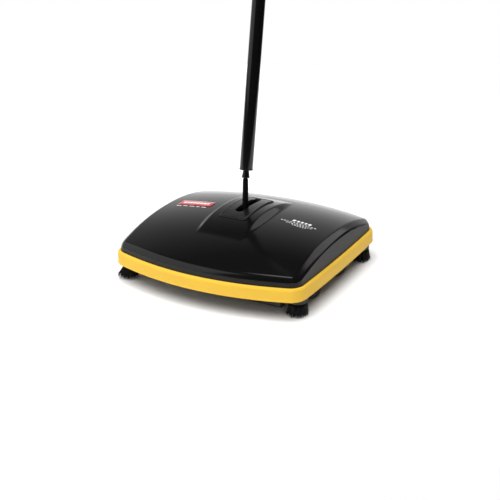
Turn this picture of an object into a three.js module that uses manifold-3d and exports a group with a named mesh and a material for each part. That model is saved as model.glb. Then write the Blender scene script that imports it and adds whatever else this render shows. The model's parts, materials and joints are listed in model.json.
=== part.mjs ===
// Carpet sweeper: a hand-pushed sweeper whose wheels drive a bristle roller by friction.
// Millimetres. +X is to the right, +Y to the back, +Z up, and the wheels stand on z = 0.
import * as THREE from "three";
import { mergeVertices } from "three/addons/utils/BufferGeometryUtils.js";
import Module from "manifold-3d";

const wasm = await Module();
wasm.setup();

// ---------------------------------------------------------------- driving dimensions

// Gaps
const fitGap = 0.3; // between two pieces that touch
const slideGap = 1.0; // between two pieces that pass each other
const floorGap = 0.6; // from the floor to the tips of bristles that just touch it

// Head, seen from above
const headWidth = 305; // across the bumper at its corners
const headDepth = 267; // front to back at its corners
const endBulge = 21.5; // how far the front and the back bow out at the middle
const sideBulge = 2; // how far the two sides bow out
const cornerRadius = 24.8;

// Bumper band
const bandHeight = 19.5;
const bandThickness = 5.4;
const bandShoulder = 5; // height of its rounded top edge

// Cover: a pressed shell, arched from front to back
const coverWall = 2.4;
const coverEndHeight = 9.6; // vault's end above the band, at the corners
const vaultRise = 23.35; // arch from front to back
const vaultPower = 2.19;
const vaultEndInset = 2.75; // from the corner depth to the line that the arch springs from
const crownRise = 10.5; // the flatter arch from side to side
const creaseInset = 15.4; // from the corner width to the crease above each side
const sideFacetWidth = 9.5; // sloping strip outside the crease
const sideFacetDrop = 6.85;
const edgeRound = 6; // height of the rounded front and back edges

// Fairing: the raised saddle that the handle comes out of
const fairingFrontY = -85;
const fairingBackY = 78;
const fairingRise = 8;
const fairingTopWidth = 70;
const fairingFootEnd = 77; // width of its foot at each end
const fairingFootSwell = 14; // and how much wider the foot is half-way
const fairingBury = 0.6; // how deep its two ends sink under the cover

// Slot plate on the fairing
const slotPlateWidth = 43;
const slotPlateFrontY = -44;
const slotPlateBackY = 45;
const slotPlateThickness = 1.5;
const slotWidth = 13;
const slotFrontY = -27;
const slotBackY = 30;
const slotLipLength = 5;
const slotLipHeight = 1.6;

// Label on the left of the cover
const labelWidth = 57;
const labelDepth = 18;
const labelThickness = 0.5;
const labelOffset = 2.3; // its middle, from half-way between the left crease and the fairing
const labelY = 3;

// Wheels
const wheelRadius = 28; // to the flats of the tread
const tyreWidth = 11;
const tyreDepth = 4;
const wheelInset = 17.5; // from the corner width to a wheel's outer face
const wheelBase = 85.2; // front axle to back axle
const axleRadius = 4;
const axleHeadRadius = 6;
const treadFlats = 24;

// Roller
const rollerCoreRadius = 13;
const rollerShaftRadius = 3;
const bearingRadius = 6;
const bristleRows = 4;
const bristleRowThickness = 7;
const bristleTwist = Math.PI / 3; // how far a row winds round from end to end

// Corner brushes
const brushInsetX = 16; // from the corner width to a corner brush's middle
const brushInsetY = 29.5; // and from the corner depth
const brushHubRadius = 13;
const brushHubHeight = 8;
const brushTopRadius = 12.5;
const brushFootRadius = 15;
const brushRingWidth = 5;
const brushFloorGap = 2.5; // the tips only reach the floor where a carpet's pile rises to them
const brushScrewRadius = 2.2;
const brushShoulderRadius = 3.6;

// Chassis and end plates
const rideHeight = 29; // floor to the bumper's lower edge
const chassisThickness = 3;
const chassisRimHeight = 8;
const chassisRimWidth = 2.2;
const endPlateThickness = 2;
const endPlateGap = 3; // between an end plate and the tyre beside it

// Dust pans
const panWall = 1.7;
const panFloorHeight = 7;
const panHingeInset = 27.5; // from the corner depth to the hinge rod
const panHingeHeight = 25.5;
const panRodRadius = 2;
const panKnuckleRadius = 3.6;
const panKnuckleLength = 12;
const panLipHeight = 9;
const springWire = 1.2;
const springTurns = 3;

// Handle
const handleLength = 1118; // pivot to the end of the grip
const stemLean = THREE.MathUtils.degToRad(3);
const tubeLean = THREE.MathUtils.degToRad(10.7);
const pivotY = -6.2;
const pivotPinRadius = 3;
const stemHubRadius = 7;
const stemHubWidth = 12.8;
const stemFootRadius = 4.9;
const stemTopRadius = 3.8;
const stemLength = 71.3; // pivot to the bend under the collar
const spigotRadius = 3;
const collarFootRadius = 5.65;
const collarTopRadius = 4.4;
const collarLength = 12.5;
const tubeRadius = 9.5;
const tubeWall = 1;
const tubeStart = 14; // from the bend to the tube's lower end
const tubeRimStep = 0.4; // how far the rim at its lower end stands out
const tubeSpigotLength = 45;
const gripWall = 2.7; // from the grip's bore to its outside
const gripLength = 150;
const gripSolidEnd = 42; // solid part above the tube's upper end
const hangHoleRadius = 6;

// ---------------------------------------------------------------- worked-out places

const halfWidth = headWidth / 2;
const halfDepth = headDepth / 2;
const bandTop = rideHeight + bandHeight;
const creaseX = halfWidth - creaseInset;
const facetX = creaseX + sideFacetWidth;
const vaultEndY = halfDepth - vaultEndInset;
const labelX = labelOffset - (creaseX + (fairingFootEnd + fairingFootSwell) / 2) / 2;
const coverInset = bandThickness + fitGap;
const coverFoot = rideHeight + 1.3;
const chassisInset = coverInset + coverWall + fitGap;
const chassisBottom = rideHeight + 1;
const chassisTop = chassisBottom + chassisThickness;

const axleHeight = wheelRadius;
const treadCornerRadius = wheelRadius / Math.cos(Math.PI / treadFlats);
const wheelOuterX = halfWidth - wheelInset;
const wheelInnerX = wheelOuterX - tyreWidth;
const wheelMiddleX = (wheelOuterX + wheelInnerX) / 2;
const endPlateOuterX = wheelInnerX - endPlateGap;
const endPlateInnerX = endPlateOuterX - endPlateThickness;
const drumRadius = wheelBase / 2 - treadCornerRadius - fitGap;
const bristleRadius = wheelRadius - floorGap;
const rollerHalfLength = endPlateInnerX - 7;

const brushX = halfWidth - brushInsetX;
const brushY = halfDepth - brushInsetY;

const panHingeY = halfDepth - panHingeInset;
const panHalfLength = endPlateInnerX - 6;
const springRadius = panRodRadius + fitGap + springWire / 2;
const panOuterY = panHingeY + springRadius + springWire / 2 + fitGap + panWall;

const bridgeBottom = axleHeight + bristleRadius + 4;
const bridgeThickness = 2;
const bridgeTop = bridgeBottom + bridgeThickness;
const bracketThickness = 2;
const bracketTop = bridgeTop + fitGap + bracketThickness;
const pivotHeight = bracketTop + 1.3 + stemHubRadius;

const tubeRimRadius = tubeRadius + tubeRimStep;
const gripRadius = tubeRadius + fitGap + gripWall;

const fairingMiddleY = (fairingFrontY + fairingBackY) / 2;
const fairingHalfLength = (fairingBackY - fairingFrontY) / 2;

// ---------------------------------------------------------------- solids

// A closed geometry as a manifold solid, with its shared vertices merged.
function solidOf(geometry) {
  const bare = geometry.clone();
  bare.deleteAttribute("normal");
  bare.deleteAttribute("uv");
  const merged = mergeVertices(bare, 1e-3);
  const triangles = [];
  for (let i = 0; i < merged.index.count; i += 3) {
    const corners = [0, 1, 2].map((k) => merged.index.getX(i + k));
    if (new Set(corners).size === 3) triangles.push(...corners);
  }
  return new wasm.Manifold(
    new wasm.Mesh({
      numProp: 3,
      vertProperties: new Float32Array(merged.attributes.position.array),
      triVerts: new Uint32Array(triangles),
    }),
  );
}

function geometryOf(solid) {
  const mesh = solid.getMesh();
  const geometry = new THREE.BufferGeometry();
  geometry.setAttribute("position", new THREE.BufferAttribute(mesh.vertProperties, 3));
  geometry.setIndex(new THREE.BufferAttribute(mesh.triVerts, 1));
  return geometry;
}

function join(first, ...others) {
  return geometryOf(others.reduce((sum, other) => sum.add(solidOf(other)), solidOf(first)));
}

function cut(first, ...others) {
  return geometryOf(others.reduce((rest, other) => rest.subtract(solidOf(other)), solidOf(first)));
}

// Turns faces round where a profile was drawn the other way, so that every solid faces out.
function facingOut(geometry) {
  const p = geometry.attributes.position;
  const [a, b, c] = [new THREE.Vector3(), new THREE.Vector3(), new THREE.Vector3()];
  let volume = 0;
  for (let i = 0; i < geometry.index.count; i += 3) {
    [a, b, c].forEach((corner, k) => corner.fromBufferAttribute(p, geometry.index.getX(i + k)));
    volume += a.dot(b.cross(c));
  }
  if (volume >= 0) return geometry;
  const reversed = Array.from(geometry.index.array).reverse();
  geometry.setIndex(reversed);
  return geometry;
}

function box(x0, x1, y0, y1, z0, z1) {
  const geometry = new THREE.BoxGeometry(x1 - x0, y1 - y0, z1 - z0);
  return geometry.translate((x0 + x1) / 2, (y0 + y1) / 2, (z0 + z1) / 2);
}

// A box of cells whose corners (u, v, w), each from -1 to 1, are moved to place(u, v, w).
function shapedBox(cellsX, cellsY, place) {
  const geometry = new THREE.BoxGeometry(2, 2, 2, cellsX, cellsY, 1);
  const p = geometry.attributes.position;
  for (let i = 0; i < p.count; i += 1) {
    p.setXYZ(i, ...place(p.getX(i), p.getY(i), p.getZ(i)));
  }
  return geometry;
}

// Profile points are [radius, distance along the axis].
function turned(profile, sides) {
  const points = profile.map(([radius, along]) => new THREE.Vector2(radius, along));
  return facingOut(new THREE.LatheGeometry(points, sides));
}

function turnedZ(profile, sides = 24) {
  return turned(profile, sides).rotateX(Math.PI / 2);
}

const yToX = new THREE.Matrix4().makeBasis(
  new THREE.Vector3(0, 0, 1),
  new THREE.Vector3(1, 0, 0),
  new THREE.Vector3(0, 1, 0),
);

function turnedX(profile, sides = 24) {
  return turned(profile, sides).applyMatrix4(yToX);
}

function ringProfile(inner, outer, from, to) {
  return [
    [inner, from],
    [outer, from],
    [outer, to],
    [inner, to],
    [inner, from],
  ];
}

function rodProfile(radius, from, to) {
  return [
    [0, from],
    [radius, from],
    [radius, to],
    [0, to],
  ];
}

const shapeToX = new THREE.Matrix4().makeBasis(
  new THREE.Vector3(0, 1, 0),
  new THREE.Vector3(0, 0, 1),
  new THREE.Vector3(1, 0, 0),
);

// A flat shape drawn in (y, z), as a plate from x0 to x1.
function plateX(shape, x0, x1, curveSegments = 6) {
  const options = { depth: x1 - x0, bevelEnabled: false, curveSegments };
  return new THREE.ExtrudeGeometry(shape, options).applyMatrix4(shapeToX).translate(x0, 0, 0);
}

// A flat shape drawn in (x, y), as a plate from z0 to z1.
function plateZ(shape, z0, z1, curveSegments = 6) {
  const options = { depth: z1 - z0, bevelEnabled: false, curveSegments };
  return new THREE.ExtrudeGeometry(shape, options).translate(0, 0, z0);
}

function polygon(points) {
  return new THREE.Shape(points.map(([x, y]) => new THREE.Vector2(x, y)));
}

function circularHole(x, y, radius) {
  return new THREE.Path().absarc(x, y, radius, 0, 2 * Math.PI, true);
}

// A skin over rings that all have the same number of points. A ring of one repeated point closes an end.
function loft(rings, closed) {
  const count = rings[0].length;
  const vertices = rings.flat().flatMap((point) => point.toArray());
  const index = [];
  const spans = closed ? rings.length : rings.length - 1;
  for (let i = 0; i < spans; i += 1) {
    const here = i * count;
    const next = ((i + 1) % rings.length) * count;
    for (let j = 0; j < count; j += 1) {
      const k = (j + 1) % count;
      index.push(here + j, here + k, next + k, here + j, next + k, next + j);
    }
  }
  const geometry = new THREE.BufferGeometry();
  geometry.setAttribute("position", new THREE.Float32BufferAttribute(vertices, 3));
  geometry.setIndex(index);
  return facingOut(geometry);
}

// ---------------------------------------------------------------- head outline and cover surface

const edgeSteps = 7;
const cornerSteps = 3;

// The head's plan, a rounded rectangle whose four edges bow out, set in by a distance.
// Each point is { x, y, endwise }, and endwise is 1 where it faces front or back and 0 where sideways.
function outline(inset) {
  const radius = Math.max(cornerRadius - inset, 0.2 * cornerRadius);
  const shrink = cornerRadius - inset - radius;
  const a = halfWidth - cornerRadius;
  const b = halfDepth - cornerRadius;
  const edges = [
    { from: [a, b], along: [-1, 0], half: a, bulge: endBulge },
    { from: [-a, b], along: [0, -1], half: b, bulge: sideBulge },
    { from: [-a, -b], along: [1, 0], half: a, bulge: endBulge },
    { from: [a, -b], along: [0, 1], half: b, bulge: sideBulge },
  ];
  const places = edges.flatMap(({ from, along, half, bulge }) => {
    const out = [along[1], -along[0]];
    return Array.from({ length: edgeSteps + 1 }, (_, i) => {
      const t = (2 * i) / edgeSteps - 1;
      const bow = bulge * (1 - t * t);
      const slope = (2 * bulge * t) / half;
      const run = half * (1 + t);
      const normal = new THREE.Vector2(
        out[0] + slope * along[0],
        out[1] + slope * along[1],
      ).normalize();
      const x = from[0] + run * along[0] + bow * out[0];
      const y = from[1] + run * along[1] + bow * out[1];
      return { x, y, normal };
    });
  });
  const points = [];
  places.forEach((place, i) => {
    const next = places[(i + 1) % places.length];
    const isCorner = (i + 1) % (edgeSteps + 1) === 0;
    const steps = isCorner ? cornerSteps : 1;
    const turn = THREE.MathUtils.euclideanModulo(
      next.normal.angle() - place.normal.angle() + Math.PI,
      2 * Math.PI,
    );
    for (let k = 0; k < steps; k += 1) {
      const angle = place.normal.angle() + (isCorner ? ((turn - Math.PI) * k) / steps : 0);
      const [nx, ny] = [Math.cos(angle), Math.sin(angle)];
      points.push({
        x: (place.x + radius * nx) * (1 + shrink / halfWidth),
        y: (place.y + radius * ny) * (1 + shrink / halfDepth),
        endwise: ny * ny,
      });
    }
  });
  return points;
}

function levelRing(inset, z) {
  return outline(inset).map(({ x, y }) => new THREE.Vector3(x, y, z));
}

const vaultFoot = bandTop + coverEndHeight;

// Height of the cover's outer surface, without the fairing.
function coverHeight(x, y) {
  const arch = vaultRise * (1 - Math.abs(y / vaultEndY) ** vaultPower);
  const across = Math.min(Math.abs(x), creaseX) / creaseX;
  const beyond = Math.min(Math.max(Math.abs(x) - creaseX, 0), sideFacetWidth) / sideFacetWidth;
  return vaultFoot + arch + crownRise * (1 - across * across) - sideFacetDrop * beyond;
}

// A ring on the cover's surface. The front and the back edge are rounded down by drop.
function coverRing(inset, drop, limitX, wall) {
  return outline(inset).map(({ x, y, endwise }) => {
    const clamped = THREE.MathUtils.clamp(x, -limitX, limitX);
    return new THREE.Vector3(clamped, y, coverHeight(clamped, y) - endwise * drop - wall);
  });
}

// The cover's rings from its foot to its middle, moved in and down by the wall's thickness.
function coverRings(wall, shares) {
  const foot = coverInset + wall;
  const rings = [
    levelRing(foot, coverFoot),
    levelRing(foot, bandTop),
    coverRing(foot + 0.7, edgeRound, facetX - wall, wall),
    coverRing(foot + 2.6, 0.35 * edgeRound, facetX - wall, wall),
    coverRing(foot + 10, 0, creaseX - 0.4 * wall, wall),
  ];
  const rim = rings.at(-1);
  for (const share of shares) {
    rings.push(
      rim.map(({ x, y }) => {
        const point = new THREE.Vector3(x * share, y * share, 0);
        return point.setZ(coverHeight(point.x, point.y) - wall);
      }),
    );
  }
  rings.push(rim.map(() => new THREE.Vector3(0, 0, coverHeight(0, 0) - wall)));
  return rings;
}

function fairingLift(y) {
  const share = (y - fairingMiddleY) / fairingHalfLength;
  return (fairingRise + fairingBury) * (1 - share * share) - fairingBury;
}

function fairingFootHalf(y) {
  const share = (y - fairingMiddleY) / fairingHalfLength;
  return (fairingFootEnd + fairingFootSwell * (1 - share * share)) / 2;
}

// The fairing as a solid lump, or the hollow inside it when it is set in.
function fairingLump(setIn, share, depth) {
  return shapedBox(4, 10, (u, v, w) => {
    const y = fairingMiddleY + v * share * fairingHalfLength;
    const half = (w > 0 ? fairingTopWidth / 2 : fairingFootHalf(y)) - setIn;
    const lift = w > 0 ? fairingLift(y) - setIn : -depth;
    return [u * half, y, coverHeight(u * half, y) + lift];
  });
}

function slotCutter(grow, z0, z1) {
  const radius = slotWidth / 2 + grow;
  const shape = new THREE.Shape();
  shape.absarc(0, slotBackY - slotWidth / 2, radius, 0, Math.PI, false);
  shape.absarc(0, slotFrontY + slotWidth / 2, radius, Math.PI, 2 * Math.PI, false);
  return plateZ(shape, z0, z1, 5);
}

// ---------------------------------------------------------------- materials

function finish(color, roughness, metalness = 0) {
  return new THREE.MeshStandardMaterial({ color, roughness, metalness });
}

const glossBlack = finish(0x0c0c0d, 0.22);
const satinBlack = finish(0x17181a, 0.5);
const matteBlack = finish(0x1b1c1d, 0.75);
const bumperYellow = finish(0xf4c23c, 0.55);
const labelRed = finish(0xb3202a, 0.4);
const zincSteel = finish(0xa9adb0, 0.4, 1);
const enamelBlack = finish(0x101112, 0.3, 0.2);
const brushBlack = finish(0x0b0b0b, 0.85);
const wheelGrey = finish(0x2a2b2d, 0.6);
const rubberBlack = finish(0x1d1d1e, 0.8);
const brassBearing = finish(0xb89a56, 0.35, 1);
const springSteel = finish(0x8d9194, 0.3, 1);

// ---------------------------------------------------------------- assembly

const sweeper = new THREE.Group();

function addTo(group, name, geometry, material, x = 0, y = 0, z = 0) {
  const mesh = new THREE.Mesh(geometry, material);
  mesh.name = name;
  mesh.position.set(x, y, z);
  group.add(mesh);
  return mesh;
}

const sides = [
  { name: "left", x: -1 },
  { name: "right", x: 1 },
];
const ends = [
  { name: "front", y: -1 },
  { name: "rear", y: 1 },
];
const corners = ends.flatMap((end) =>
  sides.map((side) => ({ name: `${end.name}_${side.name}`, x: side.x, y: end.y })),
);

function addShell() {
  const outer = coverRings(0, [0.85, 0.7, 0.54, 0.37, 0.18]);
  const inner = coverRings(coverWall, [0.75, 0.5, 0.25]);
  const shell = loft([...inner.reverse(), ...outer], false);
  const bosses = corners.map(({ x, y }) => {
    const top = coverHeight(brushX, brushY) - 1.25 * coverWall;
    const boss = turnedZ(rodProfile(5, chassisTop + fitGap, top), 12);
    return boss.translate(x * brushX, y * brushY, 0);
  });
  const screwHoles = corners.map(({ x, y }) => {
    const hole = turnedZ(rodProfile(brushScrewRadius + fitGap, chassisTop - 1, chassisTop + 15), 12);
    return hole.translate(x * brushX, y * brushY, 0);
  });
  const raised = join(shell, fairingLump(0, 1, 1.2), ...bosses);
  const hollow = fairingLump(coverWall, 0.76, 9);
  const cover = cut(raised, hollow, slotCutter(0, bandTop, bandTop + 80), ...screwHoles);
  addTo(sweeper, "top_cover", cover, glossBlack);

  const plateMiddle = (slotPlateFrontY + slotPlateBackY) / 2;
  const plateHalf = (slotPlateBackY - slotPlateFrontY) / 2;
  const plate = shapedBox(4, 10, (u, v, w) => {
    const x = (u * slotPlateWidth) / 2;
    const y = plateMiddle + v * plateHalf;
    const lift = fitGap + (w > 0 ? slotPlateThickness : 0);
    return [x, y, coverHeight(x, y) + fairingLift(y) + lift];
  });
  const lipY = slotBackY + 1;
  const lipZ = coverHeight(0, lipY) + fairingLift(lipY) + 1;
  const lip = box(-4, 4, lipY, lipY + slotLipLength, lipZ, lipZ + slotLipHeight);
  const slotted = cut(join(plate, lip), slotCutter(0, bandTop, bandTop + 80));
  addTo(sweeper, "slot_plate", slotted, satinBlack);

  const label = shapedBox(8, 3, (u, v, w) => {
    const x = labelX + (u * labelWidth) / 2;
    const y = labelY + (v * labelDepth) / 2;
    return [x, y, coverHeight(x, y) + fitGap + (w > 0 ? labelThickness : 0)];
  });
  addTo(sweeper, "label_plate", label, labelRed);
}

function addBumper() {
  const shoulder = bandTop - bandShoulder;
  const profile = [
    [1.2, rideHeight],
    [0, rideHeight + 1.4],
    [0, shoulder],
    [0.25 * bandThickness, bandTop - 0.4 * bandShoulder],
    [0.6 * bandThickness, bandTop - 0.1 * bandShoulder],
    [bandThickness, bandTop],
    [bandThickness, rideHeight],
  ];
  const band = loft(
    profile.map(([inset, z]) => levelRing(inset, z)),
    true,
  );
  addTo(sweeper, "bumper_band", band, bumperYellow);
}

function addChassis() {
  const panOpenX = endPlateOuterX + slideGap;
  const panOpenY = panOuterY + 4;
  const wellX = wheelOuterX + 4;
  const wellY = wheelBase / 2 + treadCornerRadius + 3;
  const plan = polygon(outline(chassisInset).map(({ x, y }) => [x, y]));
  plan.holes.push(
    polygon([
      [-panOpenX, -panOpenY],
      [panOpenX, -panOpenY],
      [panOpenX, -wellY],
      [wellX, -wellY],
      [wellX, wellY],
      [panOpenX, wellY],
      [panOpenX, panOpenY],
      [-panOpenX, panOpenY],
      [-panOpenX, wellY],
      [-wellX, wellY],
      [-wellX, -wellY],
      [-panOpenX, -wellY],
    ]),
  );
  corners.forEach(({ x, y }) => {
    plan.holes.push(circularHole(x * brushX, y * brushY, brushScrewRadius + fitGap));
  });
  const rimOut = chassisInset;
  const rimIn = chassisInset + chassisRimWidth;
  const rimTop = chassisTop + chassisRimHeight;
  const rim = loft(
    [
      levelRing(rimOut, chassisBottom + 1),
      levelRing(rimOut, rimTop),
      levelRing(rimIn, rimTop),
      levelRing(rimIn, chassisBottom + 1),
    ],
    true,
  );
  const chassis = join(plateZ(plan, chassisBottom, chassisTop, 4), rim);
  addTo(sweeper, "chassis", chassis, matteBlack);
}

// The steel plate at each end carries the wheels, the roller and the pans' hinge rods.
function addEndPlates() {
  const earY = panHingeY + 4.5;
  const footTop = chassisTop + fitGap + endPlateThickness;
  const outlinePoints = [
    [-earY, panHingeHeight - 4.5],
    [-panHingeY + 6, panHingeHeight - 4.5],
    [-panHingeY + 16, chassisBottom],
    [-wheelBase / 2 - 20, chassisBottom],
    [-wheelBase / 2 - 9, axleHeight - 10],
    [wheelBase / 2 + 9, axleHeight - 10],
    [wheelBase / 2 + 20, chassisBottom],
    [panHingeY - 16, chassisBottom],
    [panHingeY - 6, panHingeHeight - 4.5],
    [earY, panHingeHeight - 4.5],
    [earY, footTop],
    [48, bridgeTop + 4],
    [-48, bridgeTop + 4],
    [-earY, footTop],
  ];
  const footY = wheelBase / 2 + treadCornerRadius + 6;
  for (const side of sides) {
    const shape = polygon(outlinePoints);
    shape.holes.push(circularHole(0, axleHeight, bearingRadius + fitGap));
    for (const end of ends) {
      shape.holes.push(circularHole((end.y * wheelBase) / 2, axleHeight, axleRadius + fitGap));
      shape.holes.push(circularHole(end.y * panHingeY, panHingeHeight, panRodRadius + fitGap));
    }
    const plate = plateX(shape, endPlateInnerX, endPlateOuterX, 6);
    const feet = ends.map((end) => {
      const [near, far] = [end.y * footY, end.y * (footY + 16)].sort((p, q) => p - q);
      return box(endPlateInnerX, endPlateOuterX + 10, near, far, chassisTop + fitGap, footTop);
    });
    const flanged = join(plate, ...feet);
    if (side.x < 0) flanged.rotateZ(Math.PI);
    addTo(sweeper, `end_plate_${side.name}`, flanged, zincSteel);
  }
}

// The bridge over the roller carries the handle's pivot.
function addBridge() {
  const half = endPlateInnerX - fitGap;
  const lip = 24;
  const channel = polygon([
    [-lip, bridgeBottom],
    [lip, bridgeBottom],
    [lip, bridgeTop + 5],
    [lip - bridgeThickness, bridgeTop + 5],
    [lip - bridgeThickness, bridgeTop],
    [bridgeThickness - lip, bridgeTop],
    [bridgeThickness - lip, bridgeTop + 5],
    [-lip, bridgeTop + 5],
  ]);
  addTo(sweeper, "bridge", plateX(channel, -half, half), zincSteel);

  const earInner = stemHubWidth / 2 + 0.5;
  const earOuter = earInner + bracketThickness;
  const earTop = pivotHeight + 8;
  const base = box(-earOuter, earOuter, pivotY - 12, pivotY + 12, bridgeTop + fitGap, bracketTop);
  const ears = [-earOuter, earInner].map((x0) => {
    const ear = polygon([
      [pivotY - 12, bracketTop - 1],
      [pivotY + 12, bracketTop - 1],
      [pivotY + 5, earTop],
      [pivotY - 5, earTop],
    ]);
    ear.holes.push(circularHole(pivotY, pivotHeight, pivotPinRadius + fitGap));
    return plateX(ear, x0, x0 + bracketThickness, 6);
  });
  addTo(sweeper, "pivot_bracket", join(base, ...ears), zincSteel);

  const pinEnd = earOuter + fitGap;
  const pinProfile = [
    [0, -pinEnd - 1.5],
    [4.5, -pinEnd - 1.5],
    [4.5, -pinEnd],
    [pivotPinRadius, -pinEnd],
    [pivotPinRadius, pinEnd],
    [4.5, pinEnd],
    [4.5, pinEnd + 1.5],
    [0, pinEnd + 1.5],
  ];
  addTo(sweeper, "pivot_pin", turnedX(pinProfile, 12), zincSteel, 0, pivotY, pivotHeight);

  // A leaf that presses on the hub under the stem and holds the handle where it is put.
  const leafThickness = 0.6;
  const leafTop = pivotHeight - stemHubRadius - fitGap;
  const leafFoot = bracketTop + fitGap;
  const leaf = polygon([
    [pivotY - 10, leafFoot - 0.2],
    [pivotY - 3, leafTop - leafThickness],
    [pivotY + 3, leafTop - leafThickness],
    [pivotY + 10, leafFoot - 0.2],
    [pivotY + 10, leafFoot - 0.2 + leafThickness],
    [pivotY + 3, leafTop],
    [pivotY - 3, leafTop],
    [pivotY - 10, leafFoot - 0.2 + leafThickness],
  ]);
  addTo(sweeper, "detent_spring", plateX(leaf, -4, 4), springSteel);
}

function addWheels() {
  const hubRadius = wheelRadius - tyreDepth;
  const hubHalf = tyreWidth / 2;
  const tyreHalf = tyreWidth / 2;
  const hubProfile = [
    [axleRadius + fitGap, -hubHalf],
    [9, -hubHalf],
    [hubRadius - 4, 1 - hubHalf],
    [hubRadius - fitGap, -hubHalf],
    [hubRadius - fitGap, hubHalf],
    [hubRadius - 4, 3],
    [9, hubHalf],
    [axleRadius + fitGap, hubHalf],
    [axleRadius + fitGap, -hubHalf],
  ];
  const tyreProfile = [
    [hubRadius, -tyreHalf],
    [treadCornerRadius - 1.2, -tyreHalf],
    [treadCornerRadius, -tyreHalf + 1.2],
    [treadCornerRadius, tyreHalf - 1.2],
    [treadCornerRadius - 1.2, tyreHalf],
    [hubRadius, tyreHalf],
    [hubRadius, -tyreHalf],
  ];
  const innerHead = endPlateInnerX - fitGap;
  const axleProfile = [
    [0, innerHead - 1.5],
    [5, innerHead - 1.5],
    [5, innerHead],
    [axleRadius, innerHead],
    [axleRadius, endPlateOuterX + fitGap],
    [axleHeadRadius, endPlateOuterX + fitGap],
    [axleHeadRadius, wheelInnerX - 0.5],
    [axleRadius, wheelInnerX - 0.5],
    [axleRadius, wheelOuterX + 0.5],
    [axleHeadRadius, wheelOuterX + 0.5],
    [axleHeadRadius, wheelOuterX + 2.2],
    [0, wheelOuterX + 2.2],
  ];
  const halfFlat = Math.PI / treadFlats;
  for (const { name, x, y } of corners) {
    const place = [x * wheelMiddleX, (y * wheelBase) / 2, axleHeight];
    const hub = turnedX(hubProfile, treadFlats).rotateX(halfFlat);
    if (x < 0) hub.rotateZ(Math.PI);
    const tyre = turnedX(tyreProfile, treadFlats).rotateX(halfFlat);
    const axle = turnedX(axleProfile, 12);
    if (x < 0) axle.rotateZ(Math.PI);
    addTo(sweeper, `wheel_${name}`, hub, wheelGrey, ...place);
    addTo(sweeper, `tyre_${name}`, tyre, rubberBlack, ...place);
    addTo(sweeper, `wheel_axle_${name}`, axle, zincSteel, 0, place[1], place[2]);
  }
}

function addRoller() {
  const roller = new THREE.Group();
  roller.position.set(0, 0, axleHeight);
  sweeper.add(roller);
  const shaftEnd = wheelOuterX + 1.5;
  const shaft = turnedX(rodProfile(rollerShaftRadius, -shaftEnd, shaftEnd), 16);
  addTo(roller, "roller_shaft", shaft, zincSteel);
  const bore = rollerShaftRadius + fitGap;
  const core = turnedX(ringProfile(bore, rollerCoreRadius, -rollerHalfLength, rollerHalfLength));
  addTo(roller, "roller_core", core, satinBlack);
  for (const side of sides) {
    const drumHalf = tyreWidth / 2 - 0.5;
    const drum = turnedX(ringProfile(bore, drumRadius, -drumHalf, drumHalf));
    addTo(roller, `drive_drum_${side.name}`, drum, rubberBlack, side.x * wheelMiddleX, 0, 0);
    const flangeEnd = endPlateInnerX - fitGap;
    const bearing = turnedX(
      [
        [bore, flangeEnd - 1.5],
        [bearingRadius + 2, flangeEnd - 1.5],
        [bearingRadius + 2, flangeEnd],
        [bearingRadius, flangeEnd],
        [bearingRadius, endPlateOuterX + 1.5],
        [bore, endPlateOuterX + 1.5],
        [bore, flangeEnd - 1.5],
      ],
      16,
    );
    if (side.x < 0) bearing.rotateZ(Math.PI);
    addTo(sweeper, `roller_bearing_${side.name}`, bearing, brassBearing, 0, 0, axleHeight);
  }
  const rootRadius = rollerCoreRadius + fitGap;
  for (let row = 0; row < bristleRows; row += 1) {
    const start = (2 * Math.PI * row) / bristleRows;
    const strip = shapedBox(10, 1, (u, v, w) => {
      const angle = start + (u * bristleTwist) / 2;
      const height = w > 0 ? bristleRadius : rootRadius;
      const sideways = (v * bristleRowThickness) / 2;
      const reach = Math.sqrt(height * height - sideways * sideways);
      const lifted = w > 0 ? reach : height;
      const y = sideways * Math.cos(angle) - lifted * Math.sin(angle);
      const z = sideways * Math.sin(angle) + lifted * Math.cos(angle);
      return [u * (rollerHalfLength - 4), y, z];
    });
    addTo(roller, `bristle_row_${row + 1}`, strip, brushBlack);
  }
}

function addCornerBrushes() {
  const hubTop = chassisBottom - fitGap;
  const hubShoulder = rideHeight - 0.6;
  const hubBottom = hubShoulder - brushHubHeight;
  const bore = brushShoulderRadius + fitGap;
  const hubProfile = [
    [bore, hubBottom],
    [brushHubRadius, hubBottom],
    [brushHubRadius, hubShoulder - 2],
    [brushHubRadius - 3, hubShoulder],
    [brushShoulderRadius + 2.5, hubShoulder],
    [brushShoulderRadius + 2.5, hubTop - 0.3],
    [bore, hubTop - 0.3],
    [bore, hubBottom],
  ];
  const tuftTop = hubBottom - fitGap;
  const tuftProfile = [
    [brushTopRadius - brushRingWidth, tuftTop],
    [brushTopRadius, tuftTop],
    [brushFootRadius, brushFloorGap],
    [brushFootRadius - brushRingWidth, brushFloorGap],
    [brushTopRadius - brushRingWidth, tuftTop],
  ];
  const headTop = hubBottom - fitGap;
  const headRadius = brushTopRadius - brushRingWidth - 0.5;
  const screwProfile = [
    [0, headTop - 3],
    [headRadius - 1, headTop - 3],
    [headRadius, headTop - 2],
    [headRadius, headTop],
    [brushShoulderRadius, headTop],
    [brushShoulderRadius, hubTop],
    [brushScrewRadius, hubTop],
    [brushScrewRadius, chassisTop + 13],
    [0, chassisTop + 13],
  ];
  for (const { name, x, y } of corners) {
    const place = [x * brushX, y * brushY, 0];
    addTo(sweeper, `brush_hub_${name}`, turnedZ(hubProfile, 16), matteBlack, ...place);
    addTo(sweeper, `brush_bristles_${name}`, turnedZ(tuftProfile, 16), brushBlack, ...place);
    addTo(sweeper, `corner_screw_${name}`, turnedZ(screwProfile, 10), zincSteel, ...place);
  }
}

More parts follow.
